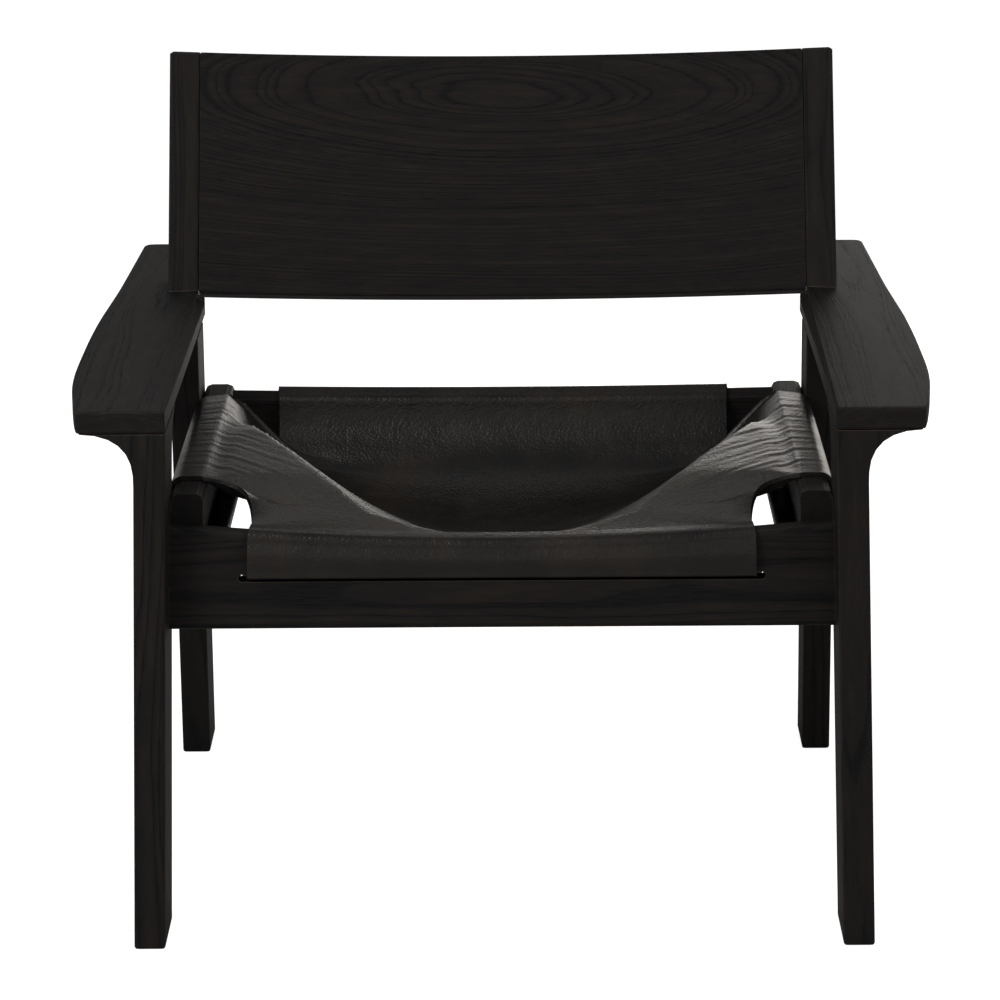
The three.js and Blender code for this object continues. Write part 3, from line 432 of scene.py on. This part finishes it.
    # painted highlight: the colour is mixed towards the light edge colour along the arrises
    rubbed_and_highlit = add_node(tree, "ShaderNodeMix", {"data_type": "RGBA"}, {
        "Factor": patchy_edge_highlight.outputs[0], MIX_A: pored.outputs[MIX_RESULT], MIX_B: (*wood.wear_and_edge_highlight, 1)})
    rough = add_node(tree, "ShaderNodeMapRange", inputs={
        "Value": streak.outputs[0], "To Min": 0.62, "To Max": 0.85})
    height = add_node(tree, "ShaderNodeMath", {"operation": "MULTIPLY_ADD"}, {
        0: streak.outputs[0], 1: -1.0, 2: late.outputs[0]})
    bump = add_node(tree, "ShaderNodeBump", inputs={
        "Strength": 0.7, "Distance": wood.pore_depth, "Height": height.outputs[0]})
    shader = add_node(tree, "ShaderNodeBsdfPrincipled", inputs={
        "Base Color": rubbed_and_highlit.outputs[MIX_RESULT], "Roughness": rough.outputs[0], "IOR": 1.5,
        "Specular IOR Level": 0.07, "Normal": bump.outputs[0]})
    finish_material(tree, shader)
    return material


def black_hide(name):
    """Vegetable-tanned ox hide, drum dyed black and waxed. Its pebbled grain breaks the sheen into
    small glints, and the dye looks rubbed and browner in cloudy patches."""
    hide = settings("chair_hide")
    material, tree = new_material(name)
    place = add_node(tree, "ShaderNodeTexCoord")
    millimetres = add_node(tree, "ShaderNodeMapping", inputs={
        "Vector": place.outputs["Object"], "Scale": (1000, 1000, 1000)})
    # a pebble is 1 mm across; it is drawn larger, so that it shows
    pebbles = add_node(tree, "ShaderNodeTexVoronoi", {"feature": "SMOOTH_F1"}, {
        "Vector": millimetres.outputs[0], "Scale": 0.001 / hide.pebble, "Smoothness": 0.6,
        "Randomness": 1.0})
    folds = add_node(tree, "ShaderNodeTexNoise", inputs={
        "Vector": millimetres.outputs[0], "Scale": 0.11, "Detail": 5.0, "Roughness": 0.6})
    clouds = add_node(tree, "ShaderNodeTexNoise", inputs={
        "Vector": millimetres.outputs[0], "Scale": 0.012, "Detail": 5.0, "Roughness": 0.62})
    wear_and_edge_highlight = add_node(tree, "ShaderNodeMapRange", inputs={
        "Value": clouds.outputs[0], "From Min": 0.42, "From Max": 0.72})
    colour = add_node(tree, "ShaderNodeMix", {"data_type": "RGBA"}, {
        "Factor": wear_and_edge_highlight.outputs[0], MIX_A: (*hide.dye, 1), MIX_B: (*hide.rubbed_and_highlit, 1)})
    rough = add_node(tree, "ShaderNodeMapRange", inputs={
        "Value": clouds.outputs[0], "From Min": 0.3, "From Max": 0.7, "To Min": 0.33,
        "To Max": 0.45})
    height = add_node(tree, "ShaderNodeMath", {"operation": "MULTIPLY_ADD"}, {
        0: folds.outputs[0], 1: FOLD_HEIGHT, 2: pebbles.outputs["Distance"]})
    bump = add_node(tree, "ShaderNodeBump", inputs={
        "Strength": 0.5, "Distance": 0.0006, "Height": height.outputs[0]})
    shader = add_node(tree, "ShaderNodeBsdfPrincipled", inputs={
        "Base Color": colour.outputs[MIX_RESULT], "Roughness": rough.outputs[0], "IOR": 1.5,
        "Specular IOR Level": 0.3, "Normal": bump.outputs[0]})
    finish_material(tree, shader)
    return material


def turned_beech(name):
    """Beech, turned and left raw. It is pale and even, with short brown flecks along the grain."""
    material, tree = new_material(name)
    place = add_node(tree, "ShaderNodeTexCoord")
    fleck_place = add_node(tree, "ShaderNodeMapping", inputs={
        "Vector": place.outputs["Object"], "Scale": FLECK_RATE})
    flecks = add_node(tree, "ShaderNodeTexNoise", inputs={
        "Vector": fleck_place.outputs[0], "Scale": 1.0, "Detail": 3.0})
    colour = add_node(tree, "ShaderNodeMix", {"data_type": "RGBA"}, {
        "Factor": flecks.outputs[0], MIX_A: (*linear("#c9a774"), 1),
        MIX_B: (*linear("#a9804e"), 1)})
    bump = add_node(tree, "ShaderNodeBump", inputs={
        "Strength": 0.3, "Distance": 0.0001, "Height": flecks.outputs[0]})
    shader = add_node(tree, "ShaderNodeBsdfPrincipled", inputs={
        "Base Color": colour.outputs[MIX_RESULT], "Roughness": 0.62, "Normal": bump.outputs[0]})
    finish_material(tree, shader)
    return material


def drawn_steel(name):
    """Mild steel, cold drawn and lightly oiled. Fine draw lines stretch its reflections."""
    material, tree = new_material(name)
    place = add_node(tree, "ShaderNodeTexCoord")
    line_place = add_node(tree, "ShaderNodeMapping", inputs={
        "Vector": place.outputs["Object"], "Scale": DRAW_LINE_RATE})
    lines = add_node(tree, "ShaderNodeTexNoise", inputs={
        "Vector": line_place.outputs[0], "Scale": 1.0, "Detail": 2.0})
    rough = add_node(tree, "ShaderNodeMapRange", inputs={
        "Value": lines.outputs[0], "To Min": 0.28, "To Max": 0.46})
    shader = add_node(tree, "ShaderNodeBsdfPrincipled", inputs={
        "Base Color": (*linear("#8d8f92"), 1), "Metallic": 1.0, "Roughness": rough.outputs[0]})
    finish_material(tree, shader)
    return material


def dress(node, material):
    """Gives a node of the frame its material in every slot."""
    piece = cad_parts[node]
    if not piece.material_slots:
        piece.data.materials.append(material)
    for slot in piece.material_slots:
        slot.material = material


def to_frame(points):
    """Millimetres with setbacks from the front, as metres in the frame of the solids."""
    return (points - np.array([0.0, FRONT_TO_MIDDLE, 0.0])) * 0.001


def smooth(low, high, value):
    """Zero below low, one above high, and three squares less two cubes between them."""
    share = np.clip((value - low) / (high - low), 0.0, 1.0)
    return share * share * (3 - 2 * share)


def mix(low, high, share):
    """The value at a share of the way from low to high."""
    return low + (high - low) * share


def curve_round(centre_out, centre_z, radius, start, end, steps):
    """Points on a circle: out is the centre plus radius times the angle's sine, and z is the centre
    plus radius times its cosine, for angles in degrees from the top."""
    angle = np.radians(np.linspace(start, end, steps + 1))[:, None]
    return centre_out + radius * np.sin(angle), centre_z + radius * np.cos(angle)


def hide_way(thickness, edge, top, slot_top, leave):
    """Way of the hide round a rail: four arcs joined by straight runs. They go from where the hide
    leaves the crest inside, over the top, down the outer face, in through the slot and round the
    rod. Returns out and z for each step and column, and each step's turn, as in ARC_TURNS."""
    none = np.zeros_like(top)
    rod_out = -thickness - GAP - WRAP_RADIUS - HIDE_THICKNESS / 2
    rod_z = slot_top - HIDE_OFFSET - WRAP_RADIUS
    circles = (
        (edge - thickness + none, top - edge, edge + HIDE_OFFSET, -leave, 0),
        (-edge + none, top - edge, edge + HIDE_OFFSET, 0, 90),
        (none, slot_top + none, HIDE_OFFSET, 90, 180),
        (rod_out + none, rod_z + none, WRAP_RADIUS, 0, -ROD_WRAP_ANGLE),
    )
    arcs = [curve_round(*circle, steps) for circle, steps in zip(circles, ARC_STEPS)]
    out, z, turn = [], [], []
    for i, ((arc_out, arc_z), (first, last)) in enumerate(zip(arcs, ARC_TURNS)):
        out.append(arc_out)
        z.append(arc_z)
        turn.append(np.linspace(first, last, len(arc_out)))
        if i < len(RUN_STEPS):
            share = np.linspace(0, 1, RUN_STEPS[i] + 2)[1:-1]
            next_out, next_z = arcs[i + 1]
            out.append(mix(arc_out[-1], next_out[0], share[:, None]))
            z.append(mix(arc_z[-1], next_z[0], share[:, None]))
            turn.append(mix(last, ARC_TURNS[i + 1][0], share))
    return np.concatenate(out), np.concatenate(z), np.concatenate(turn)


def front_way(x):
    """The way over the front rail at each x. The rail's top is scooped by a parabola. Down the
    outer face the hide bulges, by sixteen times the square of the share done times the square of
    the share left, which comes to one halfway down."""
    s = x / (inner_face(SEAT_HEIGHT) - GAP)
    top = SEAT_HEIGHT - FRONT_RAIL_SCOOP * (1 - s * s)
    out, z, turn = hide_way(FRONT_RAIL_THICKNESS, RAIL_EDGE, top, FRONT_SLOT_TOP,
                            FRONT_LEAVE_ANGLE)
    share = np.clip(turn - FACE_TURN, 0, 1)[:, None]
    return out + FRONT_FLAP_BULGE * 16 * share ** 2 * (1 - share) ** 2, z, turn


def rear_way(x):
    """The way over the rear rail at each x, in the raked frame of that rail."""
    s = x / (inner_face(REAR_RAIL_TOP) - GAP - SIDE_RAIL_THICKNESS)
    top = -REAR_RAIL_SCOOP * (1 - s * s)
    return hide_way(REAR_RAIL_THICKNESS, RAIL_EDGE, top, REAR_SLOT_TOP,
                    REAR_LEAVE_ANGLE - RAKE_ANGLE)


def side_way():
    """The way over a side rail."""
    return hide_way(SIDE_RAIL_THICKNESS, SIDE_RAIL_EDGE, np.array([SIDE_RAIL_TOP]), SIDE_SLOT_TOP,
                    SIDE_LEAVE_ANGLE)


def front_place(x, out, z):
    """Out and z of the front way as a point: out runs forward from the rail's front face."""
    return np.stack(np.broadcast_arrays(x, FRONT_RAIL_RECESS - out, z), axis=-1)


def rear_place(x, out, z):
    """Out and z of the rear way as a point: both are turned by the rake about the rail's top."""
    y0 = REAR_RAIL_THICKNESS / 2 + out
    c, s = math.cos(math.radians(RAKE_ANGLE)), math.sin(math.radians(RAKE_ANGLE))
    y = rear_leg_front(REAR_RAIL_TOP) + REAR_LEG_DEPTH / 2 + c * y0 - s * z
    return np.stack(np.broadcast_arrays(x, y, REAR_RAIL_TOP + s * y0 + c * z), axis=-1)


def side_crest():
    """Where the hide leaves a side rail's crest inside: x from the middle, and z."""
    out, z, _ = side_way()
    return inner_face(z[0, 0]) - GAP + out[0, 0], z[0, 0]


def middle_line(t, x):
    """The bowl's middle line at each x: a cubic curve between the crests of the front and the rear
    rail, weighted by the four cubic weights of t. Returns its y and z, the front crest's y and z,
    and the rear crest's z."""
    s = x / (inner_face(SEAT_HEIGHT) - GAP)
    lean = math.radians(FRONT_LEAVE_ANGLE)
    reach = RAIL_EDGE + HIDE_OFFSET
    y0 = FRONT_RAIL_RECESS - (RAIL_EDGE - FRONT_RAIL_THICKNESS - reach * math.sin(lean))
    z0 = SEAT_HEIGHT - FRONT_RAIL_SCOOP * (1 - s * s) - RAIL_EDGE + reach * math.cos(lean)
    y1, z1 = y0 + FRONT_HANDLE * math.cos(lean), z0 - FRONT_HANDLE * math.sin(lean)
    s = x / (inner_face(REAR_RAIL_TOP) - GAP - SIDE_RAIL_THICKNESS)
    lean = math.radians(REAR_LEAVE_ANGLE - RAKE_ANGLE)
    rear = rear_place(x, RAIL_EDGE - REAR_RAIL_THICKNESS - reach * math.sin(lean),
                      -REAR_RAIL_SCOOP * (1 - s * s) - RAIL_EDGE + reach * math.cos(lean))
    y3, z3 = rear[..., 1], rear[..., 2]
    lean = math.radians(REAR_LEAVE_ANGLE)
    y2, z2 = y3 - REAR_HANDLE * math.cos(lean), z3 - REAR_HANDLE * math.sin(lean)
    w0, w1, w2, w3 = (1 - t) ** 3, 3 * t * (1 - t) ** 2, 3 * t * t * (1 - t), t ** 3
    line_y = w0 * y0 + w1 * y1 + w2 * y2 + w3 * y3
    line_z = w0 * z0 + w1 * z1 + w2 * z2 + w3 * z3
    return line_y, line_z, y0, z0, z3


def side_setback(t):
    """Share of the way along the side crests, from the front corner to the rear one, for shares t
    of the bowl, and the setback there."""
    way = np.clip((t - CORNER_FRONT_SHARE) / (SIDE_FLAP_END_SHARE - CORNER_FRONT_SHARE), 0, 1)
    return way, mix(SIDE_FLAP_SETBACK, SIDE_FLAP_REAR_EDGE, way)


def bowl(t, p):
    """Middle surface of the bowl for shares t from front to rear and p across. Its edge turns from
    the front flap's corner to the side crest, follows the crest, turns down to the foot of the rear
    wall and goes up that wall. A corner goes out by one less a power of the turn's cosine, and
    along by the same power of its sine. The power is below one in front, which squares the corner.

    Setbacks go from the middle line's to the edge's by p squared. In front that is times two less p
    squared, so that the rows run level at the edge. The edge's height rises to the crest's by the
    square of the share out from the middle, times a smooth step of the setback.

    Across, the surface falls from the edge to the middle line inside the bowl's width, which opens
    from front to rear. The climb is one less a remainder to a power, and the remainder is one less
    the share across to another power."""
    crest_x, crest_z = side_crest()
    t = t[:, None]
    p = p[None, :]
    in_front = t < CORNER_FRONT_SHARE
    rear_turn = np.clip((WALL_FOOT_SHARE - t) / (WALL_FOOT_SHARE - SIDE_FLAP_END_SHARE), 0, 1)
    turn = np.where(in_front, t / CORNER_FRONT_SHARE, rear_turn)
    swing = turn * (math.pi / 2)
    square = np.where(in_front, CORNER_SQUARE_SHARE, 1.0)
    flap_half = np.where(in_front, FRONT_FLAP_HALF, REAR_FLAP_HALF)
    reach = flap_half + (crest_x - flap_half) * (1 - np.maximum(np.cos(swing), 0) ** square)
    x = p * reach
    line_y, line_z, y0, z0, z3 = middle_line(t, x)
    crest_y = side_setback(t)[1]
    start = np.where(in_front, y0, line_y)
    edge_y = start + (crest_y - start) * np.sin(swing) ** square
    level = 1 - smooth(CORNER_FRONT_SHARE, 2 * CORNER_FRONT_SHARE, t)
    y = line_y + (edge_y - line_y) * p * p * (1 + level * (1 - p * p))
    raised = smooth(0, 1, turn)
    ramp_length = mix(CORNER_RAMP_LENGTH, SIDE_FLAP_SETBACK - y0, p ** CORNER_RAMP_POWER)
    rise = (x / crest_x) ** 2 * smooth(0, 1, (y - y0) / ramp_length)
    edge = mix(mix(z0, z3, t), crest_z, rise)
    opened = np.minimum(1, t / BOWL_FULL_SHARE)
    half = mix(BOWL_FRONT_SHARE, 1, opened ** BOWL_OPENING_SHARE)
    rim = mix(*BOWL_RIM_SHARES, opened)
    power = mix(*BOWL_FLOOR_SHARES, t ** BOWL_FLOOR_GROWTH_SHARE)
    climb = 1 - (1 - np.minimum(1, np.abs(p) / half) ** power) ** rim
    z = line_z + (edge - line_z) * climb * np.where(in_front, 1.0, raised)
    return np.stack([x, y, z], axis=-1)


def grid_quads(numbers):
    """Quads between the points of a grid, row by row, from the grid of the points' numbers."""
    corners = [numbers[:-1, :-1], numbers[:-1, 1:], numbers[1:, 1:], numbers[1:, :-1]]
    return np.stack(corners, axis=-1).reshape(-1, 4)


def piece_from(name, points, quads, material):
    """A piece from its points in metres and its quads, with smooth faces."""
    mesh = bpy.data.meshes.new(name)
    mesh.vertices.add(len(points))
    mesh.vertices.foreach_set("co", points.astype(np.float32).ravel())
    mesh.loops.add(quads.size)
    mesh.loops.foreach_set("vertex_index", quads.astype(np.int32).ravel())
    mesh.polygons.add(len(quads))
    mesh.polygons.foreach_set("loop_start", np.arange(0, quads.size, 4, dtype=np.int32))
    mesh.polygons.foreach_set("loop_total", np.full(len(quads), 4, dtype=np.int32))
    mesh.polygons.foreach_set("use_smooth", np.ones(len(quads), dtype=bool))
    mesh.update(calc_edges=True)
    mesh.validate()
    mesh.materials.append(material)
    piece = bpy.data.objects.new(name, mesh)
    bpy.context.scene.collection.objects.link(piece)
    return piece


def drag_wrinkles(setback, inward, side):
    """Share of the drag wrinkles' height: one half plus sines of the setback at the crest. Each
    sine has its own pitch, and its phase sways with the way inward, so that the folds wander and
    merge. A fold drifts forward on its way inward, slowly at first."""
    drift = setback + WRINKLE_SLANT * inward ** 2 / (inward + WRINKLE_BEND)
    height = 0.5
    for pitch, share, sway, length, start in DRAG_WAVES:
        swayed = sway * np.sin(inward / length + start * side)
        height = height + share * np.sin(2 * math.pi * drift / pitch + swayed + start * side)
    return height


def flap_points(columns, half, way, place):
    """Points of a flap over the front or the rear rail, which widens a little towards its rod."""
    turn = way(columns)[2]
    x = columns[None, :] * (half + FLAP_SPREAD * smooth(*SPREAD_TURNS, turn))[:, None]
    ways = [way(row) for row in x]
    out = np.stack([rows[0][k] for k, rows in enumerate(ways)])
    z = np.stack([rows[1][k] for k, rows in enumerate(ways)])
    return place(x, out, z)


def bowl_points(columns, shares, lifted):
    """Points of the bowl with its bends and its drag wrinkles. Beside the crests it is mixed
    towards the straight slope at which the hide leaves them. There it is lifted into the wrinkles,
    which fade inward."""
    middle = bowl(shares, columns)
    reach = np.abs(middle[..., 0])
    inward = reach[:, -1:] - reach
    rearward = smooth(REARWARD_FROM_SHARE, SIDE_FLAP_END_SHARE, shares)[:, None]
    slope = np.tan(np.radians(mix(*CREST_SLOPES, rearward)))
    leaving = middle[:, -1:, 2] - slope * inward
    begun = smooth(CORNER_FRONT_SHARE, CORNER_FRONT_SHARE + BEND_START_SHARE, shares)
    ended = smooth(SIDE_FLAP_END_SHARE, WALL_FOOT_SHARE - BEND_END_SHARE, shares)
    beside = (begun * (1 - ended))[:, None]
    near = 1 - np.clip(inward / mix(*CREST_BLENDS, rearward), 0, 1)
    middle[..., 2] = mix(middle[..., 2], leaving, beside * near * near * (3 - 2 * near))
    setback = side_setback(shares)[1]
    sides = np.broadcast_to(np.sign(columns)[None, :], inward.shape)
    middle[..., 2] += (lifted[:, None] * (1 - smooth(*WRINKLE_REACH, inward))
                       * drag_wrinkles(setback[:, None], inward, sides))
    return middle


def side_flap(way, setback, lifted, side):
    """Points of a side flap, beyond the bowl's own edge points. Its rear edge leans over to the
    rear leg's front edge, and the wrinkles fade on the way down its outer face. Returns them and
    the flap's length."""
    out, z, turn = (values[1:] for values in side_way())
    z = z[:, 0][None, :]
    x = inner_face(z) - GAP + out[:, 0][None, :]
    leg = rear_leg_front(np.minimum(z, SIDE_RAIL_TOP)) - SIDE_FLAP_LEG_ROOM
    rear_edge = mix(SIDE_FLAP_REAR_EDGE, leg, smooth(*LEAN_TURNS, turn)[None, :])
    y = mix(SIDE_FLAP_SETBACK, rear_edge, way[:, None])
    fade = 1 - smooth(*FADE_TURNS, turn)
    lift = lifted[:, None] * fade[None, :] * drag_wrinkles(setback[:, None], 0.0, side)
    crest_x, crest_z = side_crest()
    length = np.hypot(np.diff(x[0], prepend=crest_x), np.diff(z[0], prepend=crest_z)).sum()
    return np.stack(np.broadcast_arrays(side * x, y, z + lift), axis=-1), length


def hide_surface(wrinkle):
    """Middle surface of the hide: one band from the front rod over the bowl to the rear rod, and a
    flap on each side that starts from the band's edge points. Drag wrinkles stand beside the side
    crests, apart from the corners, as high as wrinkle says. All is in millimetres. Returns the
    points, the quads and the flat size."""
    columns = np.sin(np.linspace(-0.5, 0.5, BAND_COLUMNS) * np.pi)
    shares = np.concatenate([
        np.linspace(0, CORNER_FRONT_SHARE, CORNER_ROWS)[1:-1],
        np.linspace(CORNER_FRONT_SHARE, SIDE_FLAP_END_SHARE, CREST_ROWS),
        np.linspace(SIDE_FLAP_END_SHARE, WALL_FOOT_SHARE, FOOT_ROWS)[1:],
        np.linspace(WALL_FOOT_SHARE, 1, WALL_ROWS)[1:-1]])
    way, setback = side_setback(shares)
    lifted = wrinkle * smooth(*WRINKLE_START_SHARES, way) * (1 - smooth(*WRINKLE_END_SHARES, way))
    front = flap_points(columns, FRONT_FLAP_HALF, front_way, front_place)[::-1]
    rear = flap_points(columns, REAR_FLAP_HALF, rear_way, rear_place)
    band = np.concatenate([front, bowl_points(columns, shares, lifted), rear])
    numbers = np.arange(band.shape[0] * band.shape[1]).reshape(band.shape[:2])
    points = [band.reshape(-1, 3)]
    quads = [grid_quads(numbers)]
    at_crest = ((shares >= CORNER_FRONT_SHARE - SHARE_MARGIN)
                & (shares <= SIDE_FLAP_END_SHARE + SHARE_MARGIN))
    rows = np.nonzero(at_crest)[0]
    count = numbers.size
    for side in (-1, 1):
        net, flap_length = side_flap(way[rows], setback[rows], lifted[rows], side)
        own = count + np.arange(net.shape[0] * net.shape[1]).reshape(net.shape[:2])
        edge = numbers[len(front) + rows, 0 if side < 0 else -1]
        full = np.concatenate([edge[:, None], own], axis=1)
        quads.append(grid_quads(full[:, ::-1] if side < 0 else full))
        points.append(net.reshape(-1, 3))
        count += own.size
    across = np.linalg.norm(np.diff(band, axis=1), axis=2).sum(axis=1).max()
    along = np.linalg.norm(np.diff(band, axis=0), axis=2).sum(axis=0).max()
    return np.concatenate(points), np.concatenate(quads), (across + 2 * flap_length, along)


class CHAIR_OT_finish_planks(bpy.types.Operator):
    """Gives each plank ebonised ash with the grain along its length"""

    bl_idname = "chair.finish_planks"
    bl_label = "Finish Planks"

    def execute(self, context):
        """Sets a grain direction and a pith for each plank."""
        recline = math.radians(BACK_RECLINE)
        up_back = Vector((0, math.sin(recline), math.cos(recline)))
        behind = Vector((0, math.cos(recline), -math.sin(recline)))
        foot = Vector((0, -RAKE, 1))
        back_foot = Vector((0, (BACK_SETBACK - FRONT_TO_MIDDLE) / 1000, ARM_TOP / 1000))
        crown = back_foot + up_back * PANEL_CROWN_HEIGHT + behind * (BACK_HOLLOW / 1000)
        dress("back_panel", ebonised_ash("ebonised_ash_panel", (1, 0, 0), -behind, crown,
                                         PANEL_PITH_DISTANCE, 0.0, PANEL_EDGE_HIGHLIGHT_SHARE))
        # the grain, the way outward from the pith, and the pith's distance in millimetres
        boards = {
            "front_rail": ((1, 0, 0), (0, -1, 0), 130),
            "rear_rail": ((1, 0, 0), (0, -1, 0), 70),
        }
        for side, sign in (("R", 1), ("L", -1)):
            boards[f"front_leg_{side}"] = ((-sign * SPLAY, 0, 1), (0.25, -1, 0), 60)
            boards[f"rear_leg_{side}"] = (foot, (0.2, -1, 0), 75)
            boards[f"arm_{side}"] = ((0, 1, 0), (0, 0, 1), 85)
            boards[f"back_stile_{side}"] = (up_back, -behind, 60)
            boards[f"side_rail_{side}"] = ((0, 1, 0), (-sign, 0, 0.2), 90)
        for i, (node, (grain, outward, pith)) in enumerate(boards.items()):
            low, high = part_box(node)
            dress(node, ebonised_ash(f"ebonised_ash_{node}", grain, outward, (low + high) / 2,
                                     pith, i + 1))
        return {"FINISHED"}


class CHAIR_OT_sling_hide(bpy.types.Operator):
    """Slings the hide over the four rails"""

    bl_idname = "chair.sling_hide"
    bl_label = "Sling Hide"

    def execute(self, context):
        """Builds the hide's middle surface and gives it its thickness."""
        hide = settings("chair_hide")
        points, quads, size = hide_surface(hide.wrinkle * 1000)
        points = to_frame(points)
        piece = piece_from("slung_hide", points, quads, black_hide("waxed_black_ox_hide"))
        wall = piece.modifiers.new("thickness", "SOLIDIFY")
        wall.thickness = hide.thickness
        wall.offset = 0.0
        rim = piece.modifiers.new("rim", "BEVEL")
        rim.width = 0.0008
        rim.segments = 2
        rim.limit_method = "ANGLE"
        rim.angle_limit = math.radians(60)
        rim.harden_normals = True
        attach(piece, "root")
        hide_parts("leather_sling")
        return {"FINISHED"}


class CHAIR_OT_finish_joinery(bpy.types.Operator):
    """Gives the dowels, splines, rods and screws their materials"""

    bl_idname = "chair.finish_joinery"
    bl_label = "Finish Joinery"

    def execute(self, context):
        """Dresses each held piece by the word in its name."""
        beech = turned_beech("turned_raw_beech")
        steel = drawn_steel("cold_drawn_steel")
        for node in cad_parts:
            if "dowel" in node or "spline" in node:
                dress(node, beech)
            elif "rod" in node or "screw" in node:
                dress(node, steel)
        return {"FINISHED"}


class CHAIR_OT_set_stage(bpy.types.Operator):
    """Lays the floor, hangs the lamps and lights the world"""

    bl_idname = "chair.set_stage"
    bl_label = "Set Stage"

    def execute(self, context):
        """Makes a white floor that keeps the chair's shadow, soft lamps and a white surround."""
        stage = settings("chair_stage")
        material, tree = new_material("seamless_paper_floor")
        path = add_node(tree, "ShaderNodeLightPath")
        lift = add_node(tree, "ShaderNodeMath", {"operation": "MULTIPLY"}, {
            0: path.outputs["Is Camera Ray"], 1: FLOOR_GLOW})
        paper = add_node(tree, "ShaderNodeBsdfDiffuse", inputs={"Color": (*stage.floor_colour, 1)})
        glow = add_node(tree, "ShaderNodeEmission", inputs={"Strength": lift.outputs[0]})
        both = add_node(tree, "ShaderNodeAddShader", inputs={
            0: paper.outputs[0], 1: glow.outputs[0]})
        finish_material(tree, both)
        corners = np.array([[x * FLOOR_HALF, y * FLOOR_HALF, -FLOOR_DROP]
                            for x, y in ((-1, -1), (1, -1), (1, 1), (-1, 1))])
        piece_from("floor", corners, np.array([[0, 1, 2, 3]]), material)
        world = bpy.data.worlds.new("surround")
        world.use_nodes = True
        context.scene.world = world
        tree = world.node_tree
        tree.nodes.clear()
        path = add_node(tree, "ShaderNodeLightPath")
        strength = add_node(tree, "ShaderNodeMapRange", inputs={
            "Value": path.outputs["Is Camera Ray"], "To Min": SURROUND_LIGHT,
            "To Max": SURROUND_SEEN})
        background = add_node(tree, "ShaderNodeBackground", inputs={
            "Color": (1, 1, 1, 1), "Strength": strength.outputs[0]})
        add_node(tree, "ShaderNodeOutputWorld", inputs={"Surface": background.outputs[0]})
        for name, (place, width, height, share) in LAMPS.items():
            data = bpy.data.lights.new(name, "AREA")
            data.shape = "RECTANGLE"
            data.size = width
            data.size_y = height
            data.color = LAMP_COLOUR
            data.energy = stage.lamp_power * share
            lamp = bpy.data.objects.new(name, data)
            lamp.location = place
            ray = Vector(LAMP_AIM) - Vector(place)
            lamp.rotation_euler = ray.to_track_quat("-Z", "Y").to_euler()
            context.scene.collection.objects.link(lamp)
        context.scene.view_settings.view_transform = "Standard"
        return {"FINISHED"}


class CHAIR_OT_set_camera(bpy.types.Operator):
    """Stands the camera at the photograph's viewing angle"""

    bl_idname = "chair.set_camera"
    bl_label = "Set Camera"

    def execute(self, context):
        """Builds the camera's turn from its pitch, roll and yaw."""
        flat = math.cos(CAMERA_PITCH)
        ahead = Vector((math.sin(CAMERA_YAW) * flat, math.cos(CAMERA_YAW) * flat,
                        -math.sin(CAMERA_PITCH)))
        level = Vector((math.cos(CAMERA_YAW), -math.sin(CAMERA_YAW), 0))
        upright = level.cross(ahead)
        right = math.cos(CAMERA_ROLL) * level + math.sin(CAMERA_ROLL) * upright
        up = -math.sin(CAMERA_ROLL) * level + math.cos(CAMERA_ROLL) * upright
        turn = Matrix((right, up, -ahead)).transposed().to_4x4()
        data = bpy.data.cameras.new("camera")
        data.lens = CAMERA_LENS
        data.sensor_width = CAMERA_SENSOR
        camera = bpy.data.objects.new("camera", data)
        camera.matrix_world = Matrix.Translation(CAMERA_PLACE) @ turn
        context.scene.collection.objects.link(camera)
        context.scene.camera = camera
        return {"FINISHED"}


class CHAIR_PT_panel(bpy.types.Panel):
    """Lists the chair's settings and steps"""

    bl_idname = "CHAIR_PT_panel"
    bl_label = "Sling Lounge Chair"
    bl_space_type = "VIEW_3D"
    bl_region_type = "UI"
    bl_category = "Chair"

    def draw(self, context):
        """Draws the settings, then a button for each step."""
        for group in ("chair_wood", "chair_hide", "chair_stage"):
            box = self.layout.box()
            for key in settings(group).__annotations__:
                box.prop(settings(group), key)
        for operator in OPERATORS:
            self.layout.operator(operator.bl_idname)


OPERATORS = (
    CHAIR_OT_finish_planks,
    CHAIR_OT_sling_hide,
    CHAIR_OT_finish_joinery,
    CHAIR_OT_set_stage,
    CHAIR_OT_set_camera,
)
GROUPS = {
    "chair_wood": ChairWoodSettings,
    "chair_hide": ChairHideSettings,
    "chair_stage": ChairStageSettings,
}


def register():
    """Registers the settings, the operators and the panel."""
    for name, group in GROUPS.items():
        bpy.utils.register_class(group)
        setattr(bpy.types.Scene, name, bpy.props.PointerProperty(type=group))
    for operator in OPERATORS:
        bpy.utils.register_class(operator)
    bpy.utils.register_class(CHAIR_PT_panel)


def unregister():
    """Takes back what register did, in the opposite order."""
    bpy.utils.unregister_class(CHAIR_PT_panel)
    for operator in reversed(OPERATORS):
        bpy.utils.unregister_class(operator)
    for name, group in reversed(GROUPS.items()):
        delattr(bpy.types.Scene, name)
        bpy.utils.unregister_class(group)


def main():
    """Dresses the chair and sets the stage."""
    register()
    bpy.ops.chair.finish_planks()
    bpy.ops.chair.sling_hide()
    bpy.ops.chair.finish_joinery()
    bpy.ops.chair.set_stage()
    bpy.ops.chair.set_camera()


if __name__ == "__main__":
    main()
